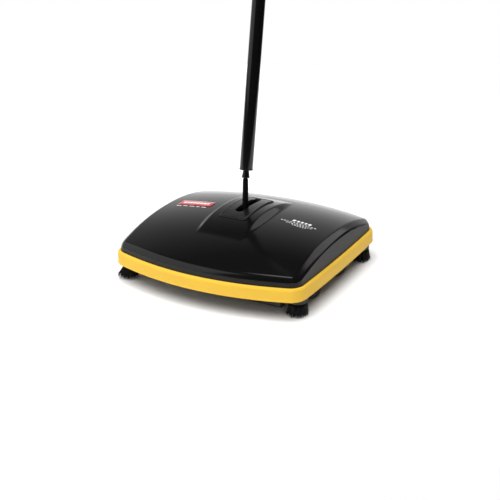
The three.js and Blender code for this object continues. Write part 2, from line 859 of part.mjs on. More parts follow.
// Each pan hangs on a rod at its outer edge and swings down to empty.
function addPans() {
  const innerY = bristleRadius + 4;
  const top = panHingeHeight;
  const tray = [
    [panOuterY, top],
    [panOuterY, panFloorHeight + 3],
    [panOuterY - 3, panFloorHeight],
    [innerY + 6, panFloorHeight],
    [innerY, panFloorHeight + 3],
    [innerY, panFloorHeight + panLipHeight],
  ];
  const inside = [
    [innerY + panWall, panFloorHeight + panLipHeight],
    [innerY + panWall, panFloorHeight + 3 + 0.5 * panWall],
    [innerY + 6, panFloorHeight + panWall],
    [panOuterY - 3, panFloorHeight + panWall],
    [panOuterY - panWall, panFloorHeight + 3 + 0.5 * panWall],
    [panOuterY - panWall, top],
  ];
  const section = polygon([...tray, ...inside]);
  const endSection = polygon(tray);
  const knuckleX = [-0.85, -0.3, 0.3, 0.85].map((share) => share * panHalfLength);
  for (const end of ends) {
    const floor = plateX(section, -panHalfLength, panHalfLength);
    const walls = [-panHalfLength, panHalfLength - panWall].map((x0) =>
      plateX(endSection, x0, x0 + panWall),
    );
    const knuckleRod = rodProfile(panKnuckleRadius, 0, panKnuckleLength);
    const knuckles = knuckleX.map((x) =>
      turnedX(knuckleRod, 12).translate(x - panKnuckleLength / 2, panHingeY, panHingeHeight),
    );
    const webs = knuckleX.map((x) =>
      box(
        x - panKnuckleLength / 2,
        x + panKnuckleLength / 2,
        panHingeY,
        panOuterY - 0.2,
        panHingeHeight - panKnuckleRadius + 0.4,
        panHingeHeight - 0.4,
      ),
    );
    const rodHole = turnedX(rodProfile(panRodRadius + 1.3 * fitGap, -halfWidth, halfWidth), 12);
    rodHole.translate(0, panHingeY, panHingeHeight);
    const pan = cut(join(floor, ...walls, ...knuckles, ...webs), rodHole);
    if (end.y < 0) pan.rotateZ(Math.PI);
    addTo(sweeper, `${end.name}_pan`, pan, satinBlack);

    const rodEnd = endPlateOuterX + 0.5;
    const rod = turnedX(rodProfile(panRodRadius, -rodEnd, rodEnd), 12);
    addTo(sweeper, `${end.name}_pan_rod`, rod, zincSteel, 0, end.y * panHingeY, panHingeHeight);
    const spring = coil();
    addTo(sweeper, `${end.name}_pan_spring`, spring, springSteel, 0, end.y * panHingeY, panHingeHeight);
  }
}

class Helix extends THREE.Curve {
  constructor(radius, pitch, turns) {
    super();
    Object.assign(this, { radius, pitch, turns });
  }

  getPoint(t, target = new THREE.Vector3()) {
    const angle = 2 * Math.PI * this.turns * t;
    const along = this.pitch * this.turns * (t - 0.5);
    return target.set(along, this.radius * Math.cos(angle), this.radius * Math.sin(angle));
  }
}

// The torsion spring round a pan's hinge rod.
function coil() {
  const wire = new THREE.Shape().absarc(0, 0, springWire / 2, 0, 2 * Math.PI, false);
  return new THREE.ExtrudeGeometry(wire, {
    extrudePath: new Helix(springRadius, 1.8 * springWire, springTurns),
    steps: 8 * springTurns,
    curveSegments: 3,
    bevelEnabled: false,
  });
}

function addHandle() {
  const handle = new THREE.Group();
  handle.position.set(0, pivotY, pivotHeight);
  sweeper.add(handle);
  const half = stemHubWidth / 2;
  const hub = turnedX(ringProfile(pivotPinRadius + fitGap, stemHubRadius, -half, half), 16);
  const stem = turnedZ(
    [
      [0, pivotPinRadius + 1.5],
      [stemFootRadius, pivotPinRadius + 1.5],
      [stemTopRadius, stemLength],
      [0, stemLength],
    ],
    12,
  ).rotateX(-stemLean);
  const bend = new THREE.Vector3(0, stemLength * Math.sin(stemLean), stemLength * Math.cos(stemLean));
  const spigotTop = tubeStart + 16;
  const spigot = turnedZ(rodProfile(spigotRadius, -3, spigotTop), 12)
    .rotateX(-tubeLean)
    .translate(...bend.toArray());
  addTo(handle, "stem", join(hub, stem, spigot), enamelBlack);

  const upper = new THREE.Group();
  upper.position.copy(bend);
  upper.rotation.x = -tubeLean;
  handle.add(upper);
  const collarFoot = 0.9;
  const collarTop = collarFoot + collarLength - 2.6;
  const bore = spigotRadius + fitGap;
  addTo(
    upper,
    "stem_collar",
    turnedZ(
      [
        [bore, collarFoot],
        [collarFootRadius, collarFoot],
        [collarFootRadius, collarFoot + 2],
        [collarTopRadius, collarTop],
        [bore, collarTop],
        [bore, collarFoot],
      ],
      16,
    ),
    satinBlack,
  );
  const plugRadius = tubeRadius - tubeWall - fitGap;
  addTo(
    upper,
    "tube_plug",
    turnedZ(
      [
        [bore, collarTop + fitGap],
        [4.1, collarTop + fitGap],
        [4.1, tubeStart - 1.2],
        [tubeRimRadius, tubeStart - 1.2],
        [tubeRimRadius, tubeStart],
        [plugRadius, tubeStart],
        [plugRadius, tubeStart + 20],
        [0, tubeStart + 20],
        [0, spigotTop + fitGap],
        [bore, spigotTop + fitGap],
        [bore, collarTop + fitGap],
      ],
      16,
    ),
    satinBlack,
  );
  addTubes(upper);
}

// Three lengths of tube, each but the first with a narrowed end that sits in the one below.
function addTubes(upper) {
  const first = tubeStart + fitGap;
  const tubeTop = handleLength - stemLength - gripSolidEnd;
  const share = (tubeTop - first) / 3;
  const inner = tubeRadius - tubeWall;
  const spigotOuter = inner - fitGap;
  const spigotInner = spigotOuter - tubeWall;
  ["lower", "middle", "upper"].forEach((name, i) => {
    const from = first + i * share + (i > 0 ? fitGap : 0);
    const to = first + (i + 1) * share;
    const plain = ringProfile(inner, tubeRadius, from, to);
    const swaged = [
      [spigotInner, from - tubeSpigotLength],
      [spigotOuter, from - tubeSpigotLength],
      [spigotOuter, from],
      [tubeRadius, from],
      [tubeRadius, to],
      [inner, to],
      [inner, from + 2],
      [spigotInner, from],
      [spigotInner, from - tubeSpigotLength],
    ];
    addTo(upper, `handle_tube_${name}`, turnedZ(i === 0 ? plain : swaged, 16), enamelBlack);
  });

  const gripTop = tubeTop + gripSolidEnd;
  const gripFoot = gripTop - gripLength;
  const bore = tubeRadius + fitGap;
  const grip = turnedZ(
    [
      [bore, gripFoot],
      [gripRadius - 0.8, gripFoot],
      [gripRadius, gripFoot + 2],
      [gripRadius, gripTop - 8],
      [0.8 * gripRadius, gripTop - 2],
      [0.45 * gripRadius, gripTop],
      [0, gripTop],
      [0, tubeTop + fitGap],
      [bore, tubeTop + fitGap],
      [bore, gripFoot],
    ],
    16,
  );
  const hangHole = turnedX(rodProfile(hangHoleRadius, -gripRadius - 2, gripRadius + 2), 16);
  hangHole.translate(0, 0, gripTop - gripSolidEnd / 2);
  addTo(upper, "grip", cut(grip, hangHole), matteBlack);
}

addShell();
addBumper();
addChassis();
addEndPlates();
addBridge();
addWheels();
addRoller();
addCornerBrushes();
addPans();
addHandle();

// The origin is on the floor, under the middle of the whole sweeper with its leaning handle.
sweeper.updateMatrixWorld(true);
const bounds = new THREE.Box3().setFromObject(sweeper, true);
sweeper.position.y = -(bounds.min.y + bounds.max.y) / 2;

export default sweeper;
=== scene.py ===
"""Carpet sweeper: the finished looks of its head, wheels, brushes, dust pans and handle.

Lengths are in metres. +X is to the right, +Y to the back and +Z up, with the wheels on z = 0.
"""

import json
import logging
import math
from dataclasses import dataclass, field
from enum import Enum
from typing import Iterable, Sequence

import bmesh
import bpy
import numpy as np
from mathutils import Matrix, Vector

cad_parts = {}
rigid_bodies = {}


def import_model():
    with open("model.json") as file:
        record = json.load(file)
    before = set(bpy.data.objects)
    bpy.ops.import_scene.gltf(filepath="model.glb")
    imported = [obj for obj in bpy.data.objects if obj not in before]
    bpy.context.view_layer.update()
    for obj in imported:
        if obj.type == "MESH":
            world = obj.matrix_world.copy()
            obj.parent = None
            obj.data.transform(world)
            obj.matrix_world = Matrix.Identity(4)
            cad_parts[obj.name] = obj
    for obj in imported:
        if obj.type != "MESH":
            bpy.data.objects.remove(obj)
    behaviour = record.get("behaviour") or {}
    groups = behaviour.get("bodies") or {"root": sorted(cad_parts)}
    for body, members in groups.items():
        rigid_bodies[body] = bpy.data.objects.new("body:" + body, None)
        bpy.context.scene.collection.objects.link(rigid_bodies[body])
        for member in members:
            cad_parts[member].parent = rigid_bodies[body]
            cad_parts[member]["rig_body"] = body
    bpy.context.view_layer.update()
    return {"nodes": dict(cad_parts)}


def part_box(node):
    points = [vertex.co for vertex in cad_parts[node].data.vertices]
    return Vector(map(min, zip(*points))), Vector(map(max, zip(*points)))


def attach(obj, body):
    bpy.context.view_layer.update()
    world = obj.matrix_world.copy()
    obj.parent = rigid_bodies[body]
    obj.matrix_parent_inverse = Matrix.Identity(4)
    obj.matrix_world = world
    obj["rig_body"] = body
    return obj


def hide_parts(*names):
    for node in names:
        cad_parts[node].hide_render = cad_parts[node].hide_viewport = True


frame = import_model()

MM = 0.001
SHARP_ANGLE = math.radians(40)
COAT_ROUGHNESS = 0.05
log = logging.getLogger("sweeper")

Point = tuple[float, float]
Triple = tuple[float, float, float]
Ring = np.ndarray
ORIGIN: Triple = (0.0, 0.0, 0.0)
ALONG_X, ALONG_Z = Vector((1, 0, 0)), Vector((0, 0, 1))


def linked(name: str, data: object) -> bpy.types.Object:
    """Puts a new object in the scene.

    Args:
        name: Its name.
        data: Its mesh, light or camera.

    Returns:
        The object.
    """
    thing = bpy.data.objects.new(name, data)
    bpy.context.scene.collection.objects.link(thing)
    return thing


# ------------------------------------------------------------------ node trees


class Term:
    """A value inside a node tree. Plain arithmetic on it adds Math nodes."""

    def __init__(self, socket: bpy.types.NodeSocket) -> None:
        """Takes the socket that holds the value."""
        self.socket = socket

    def __add__(self, other: object) -> "Term":
        """The sum."""
        return math_term("ADD", self, other)

    def __sub__(self, other: object) -> "Term":
        """The difference."""
        return math_term("SUBTRACT", self, other)

    def __rsub__(self, other: object) -> "Term":
        """The difference from a plain number."""
        return math_term("SUBTRACT", other, self)

    def __mul__(self, other: object) -> "Term":
        """The product."""
        return math_term("MULTIPLY", self, other)

    def __truediv__(self, other: object) -> "Term":
        """The quotient."""
        return math_term("DIVIDE", self, other)

    def __pow__(self, other: object) -> "Term":
        """The power."""
        return math_term("POWER", self, other)

    def __abs__(self) -> "Term":
        """The size without its sign."""
        return math_term("ABSOLUTE", self)


def fill(node: bpy.types.Node, inputs: dict) -> bpy.types.Node:
    """Fills a node's inputs.

    Args:
        node: The node.
        inputs: Socket name or index to a plain value, or to the term that feeds it.

    Returns:
        The same node.
    """
    for key, value in inputs.items():
        if isinstance(value, Term):
            node.id_data.links.new(value.socket, node.inputs[key])
        else:
            node.inputs[key].default_value = value
    return node


def math_term(operation: str, *terms: object) -> Term:
    """One step of arithmetic.

    Args:
        operation: The Math node's operation.
        terms: Numbers and terms, at least one of them a term.

    Returns:
        The result.
    """
    tree = next(term.socket.id_data for term in terms if isinstance(term, Term))
    node = tree.nodes.new("ShaderNodeMath")
    node.operation = operation
    return Term(fill(node, dict(enumerate(terms))).outputs[0])


class Tree:
    """A node tree, with short ways to add to it."""

    def __init__(self, tree: bpy.types.NodeTree) -> None:
        """Takes the tree to add to."""
        self.tree = tree

    def node(self, kind: str, inputs: dict | None = None, **settings: object) -> bpy.types.Node:
        """Adds a node.

        Args:
            kind: Its type name.
            inputs: What fills its inputs.
            settings: Its properties.

        Returns:
            The node.
        """
        made = self.tree.nodes.new(kind)
        for key, value in settings.items():
            setattr(made, key, value)
        return fill(made, inputs or {})

    def term(self, kind: str, inputs: dict | None = None, output: int | str = 0,
             **settings: object) -> Term:
        """Adds a node for one of its outputs.

        Args:
            kind: Its type name.
            inputs: What fills its inputs.
            output: The output's name or index.
            settings: The node's properties.

        Returns:
            The output.
        """
        return Term(self.node(kind, inputs, **settings).outputs[output])

    def place(self) -> Term:
        """Where a surface point lies, in the sweeper's own frame."""
        return self.term("ShaderNodeTexCoord", output="Object")

    def normal(self) -> Term:
        """The surface's direction."""
        return self.term("ShaderNodeNewGeometry", output="Normal")

    def parts(self, vector: Term) -> list[Term]:
        """The three parts of a vector."""
        return [Term(part) for part in self.node("ShaderNodeSeparateXYZ", {0: vector}).outputs]

    def vector(self, x: object, y: object, z: object) -> Term:
        """Three numbers or terms as one vector."""
        return self.term("ShaderNodeCombineXYZ", {0: x, 1: y, 2: z})

    def vectors(self, operation: str, first: object, second: object, output: int = 0) -> Term:
        """One step of vector arithmetic."""
        return self.term("ShaderNodeVectorMath", {0: first, 1: second}, output,
                         operation=operation)

    def ranged(self, value: Term, low: object, high: object, start: object = 0.0,
               end: object = 1.0, kind: str = "LINEAR") -> Term:
        """Maps a value from one range to another, held within it.

        Args:
            value: The value.
            low: Where the first range starts.
            high: Where the first range ends.
            start: The result at low.
            end: The result at high.
            kind: The way it runs between them.

        Returns:
            The result.
        """
        return self.term("ShaderNodeMapRange", {
            "Value": value, "From Min": low, "From Max": high, "To Min": start, "To Max": end},
            "Result", interpolation_type=kind)

    def noise(self, scale: object, detail: float, roughness: float = 0.5) -> Term:
        """Noise over the sweeper's own frame.

        Args:
            scale: Its scale.
            detail: How many finer layers it has.
            roughness: How strong they are.

        Returns:
            The noise, about 0 to 1.
        """
        return self.term("ShaderNodeTexNoise", {
            "Vector": self.place(), "Scale": scale, "Detail": detail, "Roughness": roughness},
            "Fac")


SOCKET_TYPES = {float: "NodeSocketFloat", int: "NodeSocketInt", tuple: "NodeSocketVector"}


class NamedTree(Tree):
    """A node group with named inputs and outputs."""

    def __init__(self, name: str, kind: str, inputs: dict[str, object],
                 outputs: dict[str, str]) -> None:
        """Starts the group.

        Args:
            name: Its name.
            kind: "ShaderNodeTree" or "GeometryNodeTree".
            inputs: Input name to its default value, or to a socket type without one.
            outputs: Output name to its socket type.
        """
        super().__init__(bpy.data.node_groups.new(name, kind))
        face = self.tree.interface
        for key, default in inputs.items():
            plain = isinstance(default, str)
            made = face.new_socket(name=key, in_out="INPUT", socket_type=default if plain
                                   else SOCKET_TYPES[type(default)])
            if not plain:
                made.default_value = default
        for key, socket_type in outputs.items():
            face.new_socket(name=key, in_out="OUTPUT", socket_type=socket_type)
        self.given = self.tree.nodes.new("NodeGroupInput")
        self.out = self.tree.nodes.new("NodeGroupOutput")

    def value(self, name: str) -> Term:
        """A named input."""
        return Term(self.given.outputs[name])

    def done(self, **results: Term) -> bpy.types.NodeTree:
        """Links the group's outputs and gives the finished group."""
        fill(self.out, results)
        return self.tree


# ------------------------------------------------------------------ shared surface effects


def effect_tree(name: str, inputs: dict[str, float], *outputs: str) -> NamedTree:
    """Starts a shader group whose sockets are all numbers."""
    return NamedTree(name, "ShaderNodeTree", inputs, dict.fromkeys(outputs, "NodeSocketFloat"))


def grain_group() -> bpy.types.NodeTree:
    """Moulded or cast grain: a fine height, and a slow drift of tone over the surface.

    Returns:
        The node group.
    """
    made = effect_tree("surface_grain", {"Scale": 900.0, "Drift Scale": 14.0,
                                         "Coarse Share": 0.35}, "Height", "Drift")
    scale, share = made.value("Scale"), made.value("Coarse Share")
    fine, coarse = made.noise(scale, 3.0, 0.6), made.noise(scale * 0.17, 2.0)
    return made.done(Height=fine * (1.0 - share) + coarse * share,
                     Drift=made.noise(made.value("Drift Scale"), 4.0, 0.55))


def edge_wear_group() -> bpy.types.NodeTree:
    """Rubbed edges: 1 where a convex edge has lost its finish.

    Returns:
        The node group.
    """
    made = effect_tree("edge_wear", {"Radius": 0.0006, "Amount": 0.4, "Break-up Scale": 160.0},
                       "Mask")
    soft = made.term("ShaderNodeBevel", {"Radius": made.value("Radius")}, samples=4)
    turned = 1.0 - made.vectors("DOT_PRODUCT", soft, made.normal(), 1)
    broken = turned * made.noise(made.value("Break-up Scale"), 3.0)
    return made.done(Mask=made.ranged(broken, 0.02, 0.16, 0.0, made.value("Amount")))


def dust_group() -> bpy.types.NodeTree:
    """Settled dust: more on faces that look up, in soft patches and fine specks.

    Returns:
        The node group.
    """
    made = effect_tree("settled_dust", {"Amount": 0.1, "Speck Scale": 700.0}, "Mask")
    facing = made.ranged(made.parts(made.normal())[2], -0.1, 1.0, 0.25, 1.0)
    few = made.ranged(made.noise(made.value("Speck Scale"), 2.0), 0.45, 0.75)
    patches = made.noise(22.0, 5.0, 0.62)
    return made.done(Mask=patches * few * facing * made.value("Amount"))


def bar_group() -> bpy.types.NodeTree:
    """A flat rectangle seen from above: 1 inside it and 0 outside.

    Returns:
        The node group.
    """
    names = ("X", "Y", "Half Width", "Half Depth", "Slope")
    made = effect_tree("flat_bar", dict.fromkeys(names, 0.0), "Mask")
    middle_x, middle_y, half_width, half_depth, slope = map(made.value, names)
    x, y, _ = made.parts(made.place())
    along = y - middle_y
    across = x - middle_x - along * slope
    return made.done(Mask=math_term("LESS_THAN", abs(across), half_width)
                     * math_term("LESS_THAN", abs(along), half_depth))


EFFECTS: dict[str, bpy.types.NodeTree] = {
    "grain": grain_group(), "wear": edge_wear_group(), "dust": dust_group(), "bar": bar_group()}


# ------------------------------------------------------------------ finishes


def grey(level: float) -> Triple:
    """A neutral colour."""
    return (level, level, level)


DUST_COLOUR: Triple = (0.34, 0.33, 0.31)
PRINT_COLOUR: Triple = (0.85, 0.85, 0.84)


@dataclass(frozen=True)
class Bar:
    """One printed bar on a flat face, by its middle and its half sizes."""

    x: float
    y: float
    half_width: float
    half_depth: float
    slope: float = 0.0


@dataclass(frozen=True)
class Finish:
    """A finish: its colour, its gloss, its grain, and how it has worn."""

    name: str
    slot: str
    colour: Triple
    worn: Triple
    roughness: float
    metallic: float = 0.0
    coat: float = 0.0
    drift: float = 0.1
    drift_scale: float = 14.0
    drift_shade: float = 2.2
    grain_scale: float = 900.0
    grain_depth: float = 0.00003
    wear: float = 0.3
    worn_dulling: float = 0.15
    dust: float = 0.1
    dust_dulling: float = 0.5
    ior: float = 1.46
    steep_roughness: float = 0.0
    bars: tuple[Bar, ...] = ()

    def effect(self, tree: Tree, name: str, **values: float) -> dict[str, Term]:
        """Places a shared effect in the material.

        Args:
            tree: The material's tree.
            name: The effect's short name.
            values: Input values, with underscores for spaces.

        Returns:
            The effect's outputs by name.
        """
        made = tree.node("ShaderNodeGroup", node_tree=EFFECTS[name])
        fill(made, {key.replace("_", " "): value for key, value in values.items()})
        return {socket.name: Term(socket) for socket in made.outputs}

    def mixed(self, tree: Tree, share: Term, first: object, second: object) -> Term:
        """Blends two colours by a mask.

        Args:
            tree: The material's tree.
            share: The mask.
            first: Colour or term where the mask is 0.
            second: Colour or term where the mask is 1.

        Returns:
            The blended colour.
        """
        ends = [(*colour, 1.0) if isinstance(colour, tuple) else colour
                for colour in (first, second)]
        return tree.term("ShaderNodeMix", {0: share, 6: ends[0], 7: ends[1]}, 2,
                         data_type="RGBA")

    def printed(self, tree: Tree, base: Term) -> Term:
        """The colour with the printed bars on it.

        Args:
            tree: The material's tree.
            base: The colour under the print.

        Returns:
            The colour with the print on it.
        """
        masks = [self.effect(tree, "bar", X=bar.x, Y=bar.y, Half_Width=bar.half_width,
                             Half_Depth=bar.half_depth, Slope=bar.slope)["Mask"]
                 for bar in self.bars]
        if not masks:
            return base
        mask = masks[0]
        for other in masks[1:]:
            mask = math_term("MAXIMUM", mask, other)
        return self.mixed(tree, mask, base, PRINT_COLOUR)

    def steep(self, tree: Tree) -> Term:
        """The duller roughness of steep walls, which a mould's polish doesn't reach."""
        up = abs(tree.parts(tree.normal())[2])
        return tree.ranged(up, 0.2, 0.45, self.steep_roughness, 0.0)

    def material(self) -> bpy.types.Material:
        """Builds the finish once, and gives the same material to every piece that uses it.

        Returns:
            The material.
        """
        known = bpy.data.materials.get(self.name)
        if known:
            return known
        made = bpy.data.materials.new(self.name)
        made.use_nodes = True
        tree = Tree(made.node_tree)
        grain = self.effect(tree, "grain", Scale=self.grain_scale, Drift_Scale=self.drift_scale)
        worn = self.effect(tree, "wear", Amount=self.wear)["Mask"]
        dusty = self.effect(tree, "dust", Amount=self.dust)["Mask"]
        shade = tuple(part * (1.0 - self.drift_shade * self.drift) for part in self.colour)
        base = self.mixed(tree, grain["Drift"], shade, self.colour)
        base = self.printed(tree, self.mixed(tree, worn, base, self.worn))
        rough = grain["Drift"] * (2.0 * self.drift) + (self.roughness - self.drift)
        rough = rough + worn * self.worn_dulling + dusty * self.dust_dulling
        if self.steep_roughness:
            rough = math_term("MAXIMUM", rough, self.steep(tree))
        bump = tree.term("ShaderNodeBump", {"Strength": 1.0, "Distance": self.grain_depth,
                                            "Height": grain["Height"]})
        fill(tree.tree.nodes["Principled BSDF"], {
            "Base Color": self.mixed(tree, dusty, base, DUST_COLOUR), "Roughness": rough,
            "Normal": bump, "Metallic": self.metallic, "Coat Weight": self.coat,
            "Coat Roughness": COAT_ROUGHNESS, "IOR": self.ior})
        return made


@dataclass(frozen=True)
class DashRow:
    """A row of printed dashes of uneven lengths, in mm from the head's middle."""

    middle: Point
    width: float
    half_depth: float
    longest: float
    gap: float
    seed: int
    slope: float = 0.12

    def bars(self) -> list[Bar]:
        """Each dash as a bar.

        Returns:
            The bars, from left to right.
        """
        rng = np.random.default_rng(self.seed)
        x, end = self.middle[0] - self.width / 2, self.middle[0] + self.width / 2
        row = []
        while x < end - 1:
            length = min(self.longest * rng.uniform(0.6, 1.0), end - x)
            row.append(Bar((x + length / 2) * MM, self.middle[1] * MM + HEAD_Y,
                           length / 2 * MM, self.half_depth * MM, self.slope))
            x += length + self.gap
        return row


def middle_of(node: str) -> Vector:
    """The middle of a CAD node's box."""
    low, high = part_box(node)
    return (low + high) / 2


def half_of(node: str) -> Vector:
    """Half the size of a CAD node's box."""
    low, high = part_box(node)
    return (high - low) / 2


HEAD_Y: float = middle_of("bumper_band").y
LABEL: Vector = middle_of("label_plate")
COVER_PRINT = (DashRow((88, 4.4), 29, 2.6, 5.2, 2.6, 0), DashRow((86, -2.2), 57, 0.8, 3.6, 1.9, 1),
               DashRow((88, -6.4), 40, 0.75, 3.2, 1.8, 2),
               DashRow((90, -10.2), 22, 0.75, 3.0, 1.8, 3),
               DashRow((-91, -9.4), 52, 0.9, 9.0, 3.4, 4))
LABEL_PRINT = DashRow((LABEL.x / MM, (LABEL.y - HEAD_Y) / MM + 0.6), 45, 3.0, 5.2, 1.3, 9, 0.1)


class Finishes(Enum):
    """Every finish on the sweeper."""

    GLOSS_BLACK = Finish(
        "gloss_black_cover", "gloss_black", (0.0036, 0.0038, 0.0036), grey(0.02), 0.15,
        drift=0.02, drift_scale=9.0, grain_scale=420.0, grain_depth=0.000003,
        wear=0.1, dust=0.01, steep_roughness=0.5,
        bars=tuple(bar for row in COVER_PRINT for bar in row.bars()))
    SATIN_BLACK = Finish(
        "satin_black_plastic", "satin_black", (0.005, 0.0052, 0.0053), grey(0.035), 0.26,
        drift=0.05, grain_scale=1500.0, grain_depth=0.00002, wear=0.3, dust=0.03)
    MATTE_BLACK = Finish(
        "matte_black_plastic", "matte_black", (0.03, 0.03, 0.031), grey(0.06), 0.68,
        grain_scale=1100.0, grain_depth=0.00006, wear=0.3, dust=0.25)
    BUMPER_YELLOW = Finish(
        "yellow_bumper_vinyl", "bumper_yellow", (0.86, 0.53, 0.05), (0.93, 0.66, 0.25), 0.55,
        ior=1.38, drift=0.05, drift_scale=18.0, grain_scale=700.0, grain_depth=0.00004,
        wear=0.5, dust=0.05)
    LABEL_RED = Finish(
        "red_label", "label_red", (0.5, 0.022, 0.032), (0.6, 0.2, 0.2), 0.3, coat=0.3,
        drift=0.05, grain_scale=1800.0, grain_depth=0.000008, wear=0.3, dust=0.05,
        bars=(Bar(LABEL.x, LABEL.y + 8.0 * MM, 28 * MM, 0.45 * MM), *LABEL_PRINT.bars()))
    PAN_BLACK = Finish(
        "black_pan_plastic", "satin_black", (0.024, 0.024, 0.025), grey(0.08), 0.48,
        drift=0.08, grain_scale=1300.0, grain_depth=0.00003, wear=0.4, dust=0.3)
    ZINC_STEEL = Finish(
        "zinc_plated_steel", "zinc_steel", (0.46, 0.48, 0.5), (0.3, 0.29, 0.27), 0.34,
        metallic=1.0, drift=0.12, drift_scale=60.0, grain_scale=600.0, grain_depth=0.00002,
        wear=0.3, dust=0.2)
    SPRING_STEEL = Finish(
        "spring_steel_wire", "spring_steel", (0.34, 0.35, 0.37), grey(0.2), 0.28,
        metallic=1.0, drift=0.08, grain_scale=1600.0, grain_depth=0.00001, wear=0.1)
    WHEEL_GREY = Finish(
        "grey_wheel_plastic", "wheel_grey", (0.024, 0.025, 0.027), grey(0.08), 0.55,
        grain_scale=1200.0, grain_depth=0.00004, wear=0.4, dust=0.3)
    TYRE_RUBBER = Finish(
        "tyre_rubber", "tyre_rubber", grey(0.012), (0.05, 0.048, 0.045), 0.78, drift=0.12,
        drift_scale=40.0, grain_scale=1500.0, grain_depth=0.00008, wear=0.7, dust=0.35)
    BRASS = Finish(
        "brass_bearing", "brass_bearing", (0.58, 0.4, 0.14), (0.3, 0.2, 0.08), 0.3, metallic=1.0,
        drift=0.1, drift_scale=80.0, grain_scale=900.0, grain_depth=0.00001, wear=0.4)
    BRISTLE_BLACK = Finish(
        "black_bristle", "brush_black", grey(0.003), grey(0.03), 0.42, ior=1.3, drift=0.15,
        drift_scale=300.0, grain_scale=2500.0, grain_depth=0.00002, wear=0.0, dust=0.04)
    ENAMEL_BLACK = Finish(
        "black_enamelled_tube", "enamel_black", (0.0035, 0.0038, 0.0038), grey(0.05), 0.13,
        drift=0.03, drift_scale=30.0, grain_scale=650.0, grain_depth=0.000008,
        wear=0.2, dust=0.015)
    BLACKED_STEEL = Finish(
        "blacked_steel_rod", "enamel_black", (0.003, 0.003, 0.0032), grey(0.05), 0.6,
        ior=1.2, drift=0.03, drift_scale=60.0, grain_scale=900.0, grain_depth=0.00001,
        wear=0.15, dust=0.01)
    GRIP_FOAM = Finish(
        "ribbed_grip_vinyl", "matte_black", (0.012, 0.012, 0.0125), grey(0.05), 0.6,
        drift=0.1, drift_scale=50.0, grain_scale=1700.0, grain_depth=0.00009, wear=0.4,
        dust=0.15)


# ------------------------------------------------------------------ meshes


def ring_faces(count: int, rings: int, closed: bool) -> list[tuple[int, ...]]:
    """The faces between rings of points.

    Args:
        count: Points in each ring.
        rings: How many rings there are.
        closed: Whether the last ring joins the first.

    Returns:
        Four-sided faces by point number.
    """
    faces = []
    for i in range(rings if closed else rings - 1):
        here, there = i * count, (i + 1) % rings * count
        faces += [(here + j, here + (j + 1) % count, there + (j + 1) % count, there + j)
                  for j in range(count)]
    return faces


def new_mesh(name: str, points: Iterable, faces: Iterable = ()) -> bpy.types.Mesh:
    """A mesh from its points and faces.

    Args:
        name: The mesh's name.
        points: Its points (x, y, z).
        faces: Its faces by point number.

    Returns:
        The mesh.
    """
    mesh = bpy.data.meshes.new(name)
    mesh.from_pydata(list(points), [], list(faces))
    return mesh


def mesh_from_rings(name: str, rings: Sequence[Ring], closed: bool = False,
                    capped: bool = True) -> bpy.types.Mesh:
    """A skin over rings that all have the same number of points.

    Args:
        name: The mesh's name.
        rings: Arrays of points, each ring running the same way round.
        closed: Whether the last ring joins the first.
        capped: Whether the two ends get a face each when not closed.

    Returns:
        A closed mesh whose faces point outwards.
    """
    count = len(rings[0])
    faces = ring_faces(count, len(rings), closed)
    if not closed and capped:
        faces.append(tuple(range(count))[::-1])
        faces.append(tuple(range((len(rings) - 1) * count, len(rings) * count)))
    return settled(new_mesh(name, np.concatenate(rings).tolist(), faces))


def smooth(mesh: bpy.types.Mesh) -> bpy.types.Mesh:
    """Shades a mesh smooth between its sharp edges.

    Args:
        mesh: A mesh, changed in place.

    Returns:
        The same mesh.
    """
    mesh.shade_smooth()
    mesh.set_sharp_from_angle(angle=SHARP_ANGLE)
    return mesh


def settled(mesh: bpy.types.Mesh) -> bpy.types.Mesh:
    """Merges doubled points, turns the faces outwards and shades the mesh.

    Args:
        mesh: A closed mesh, changed in place.

    Returns:
        The same mesh.
    """
    built = bmesh.new()
    built.from_mesh(mesh)
    bmesh.ops.remove_doubles(built, verts=built.verts, dist=1e-7)
    bmesh.ops.recalc_face_normals(built, faces=built.faces)
    if built.calc_volume(signed=True) < 0:
        bmesh.ops.reverse_faces(built, faces=built.faces)
    built.to_mesh(mesh)
    built.free()
    return smooth(mesh)


def modified(mesh: bpy.types.Mesh, kind: str, settings: dict[str, object],
             sockets: dict[str, object] | None = None) -> bpy.types.Mesh:
    """Runs one modifier on a mesh and removes it again.

    Args:
        mesh: The mesh it starts from.
        kind: The modifier's type.
        settings: Its properties.
        sockets: Its tree's inputs, by identifier.

    Returns:
        The result as a plain mesh.
    """
    holder = linked("holder", mesh)
    modifier = holder.modifiers.new("step", kind)
    for key, value in settings.items():
        setattr(modifier, key, value)
    for key, value in (sockets or {}).items():
        modifier[key] = value
    graph = bpy.context.evaluated_depsgraph_get()
    made = bpy.data.meshes.new_from_object(holder.evaluated_get(graph))
    holder.modifiers.remove(modifier)
    bpy.data.objects.remove(holder)
    return made


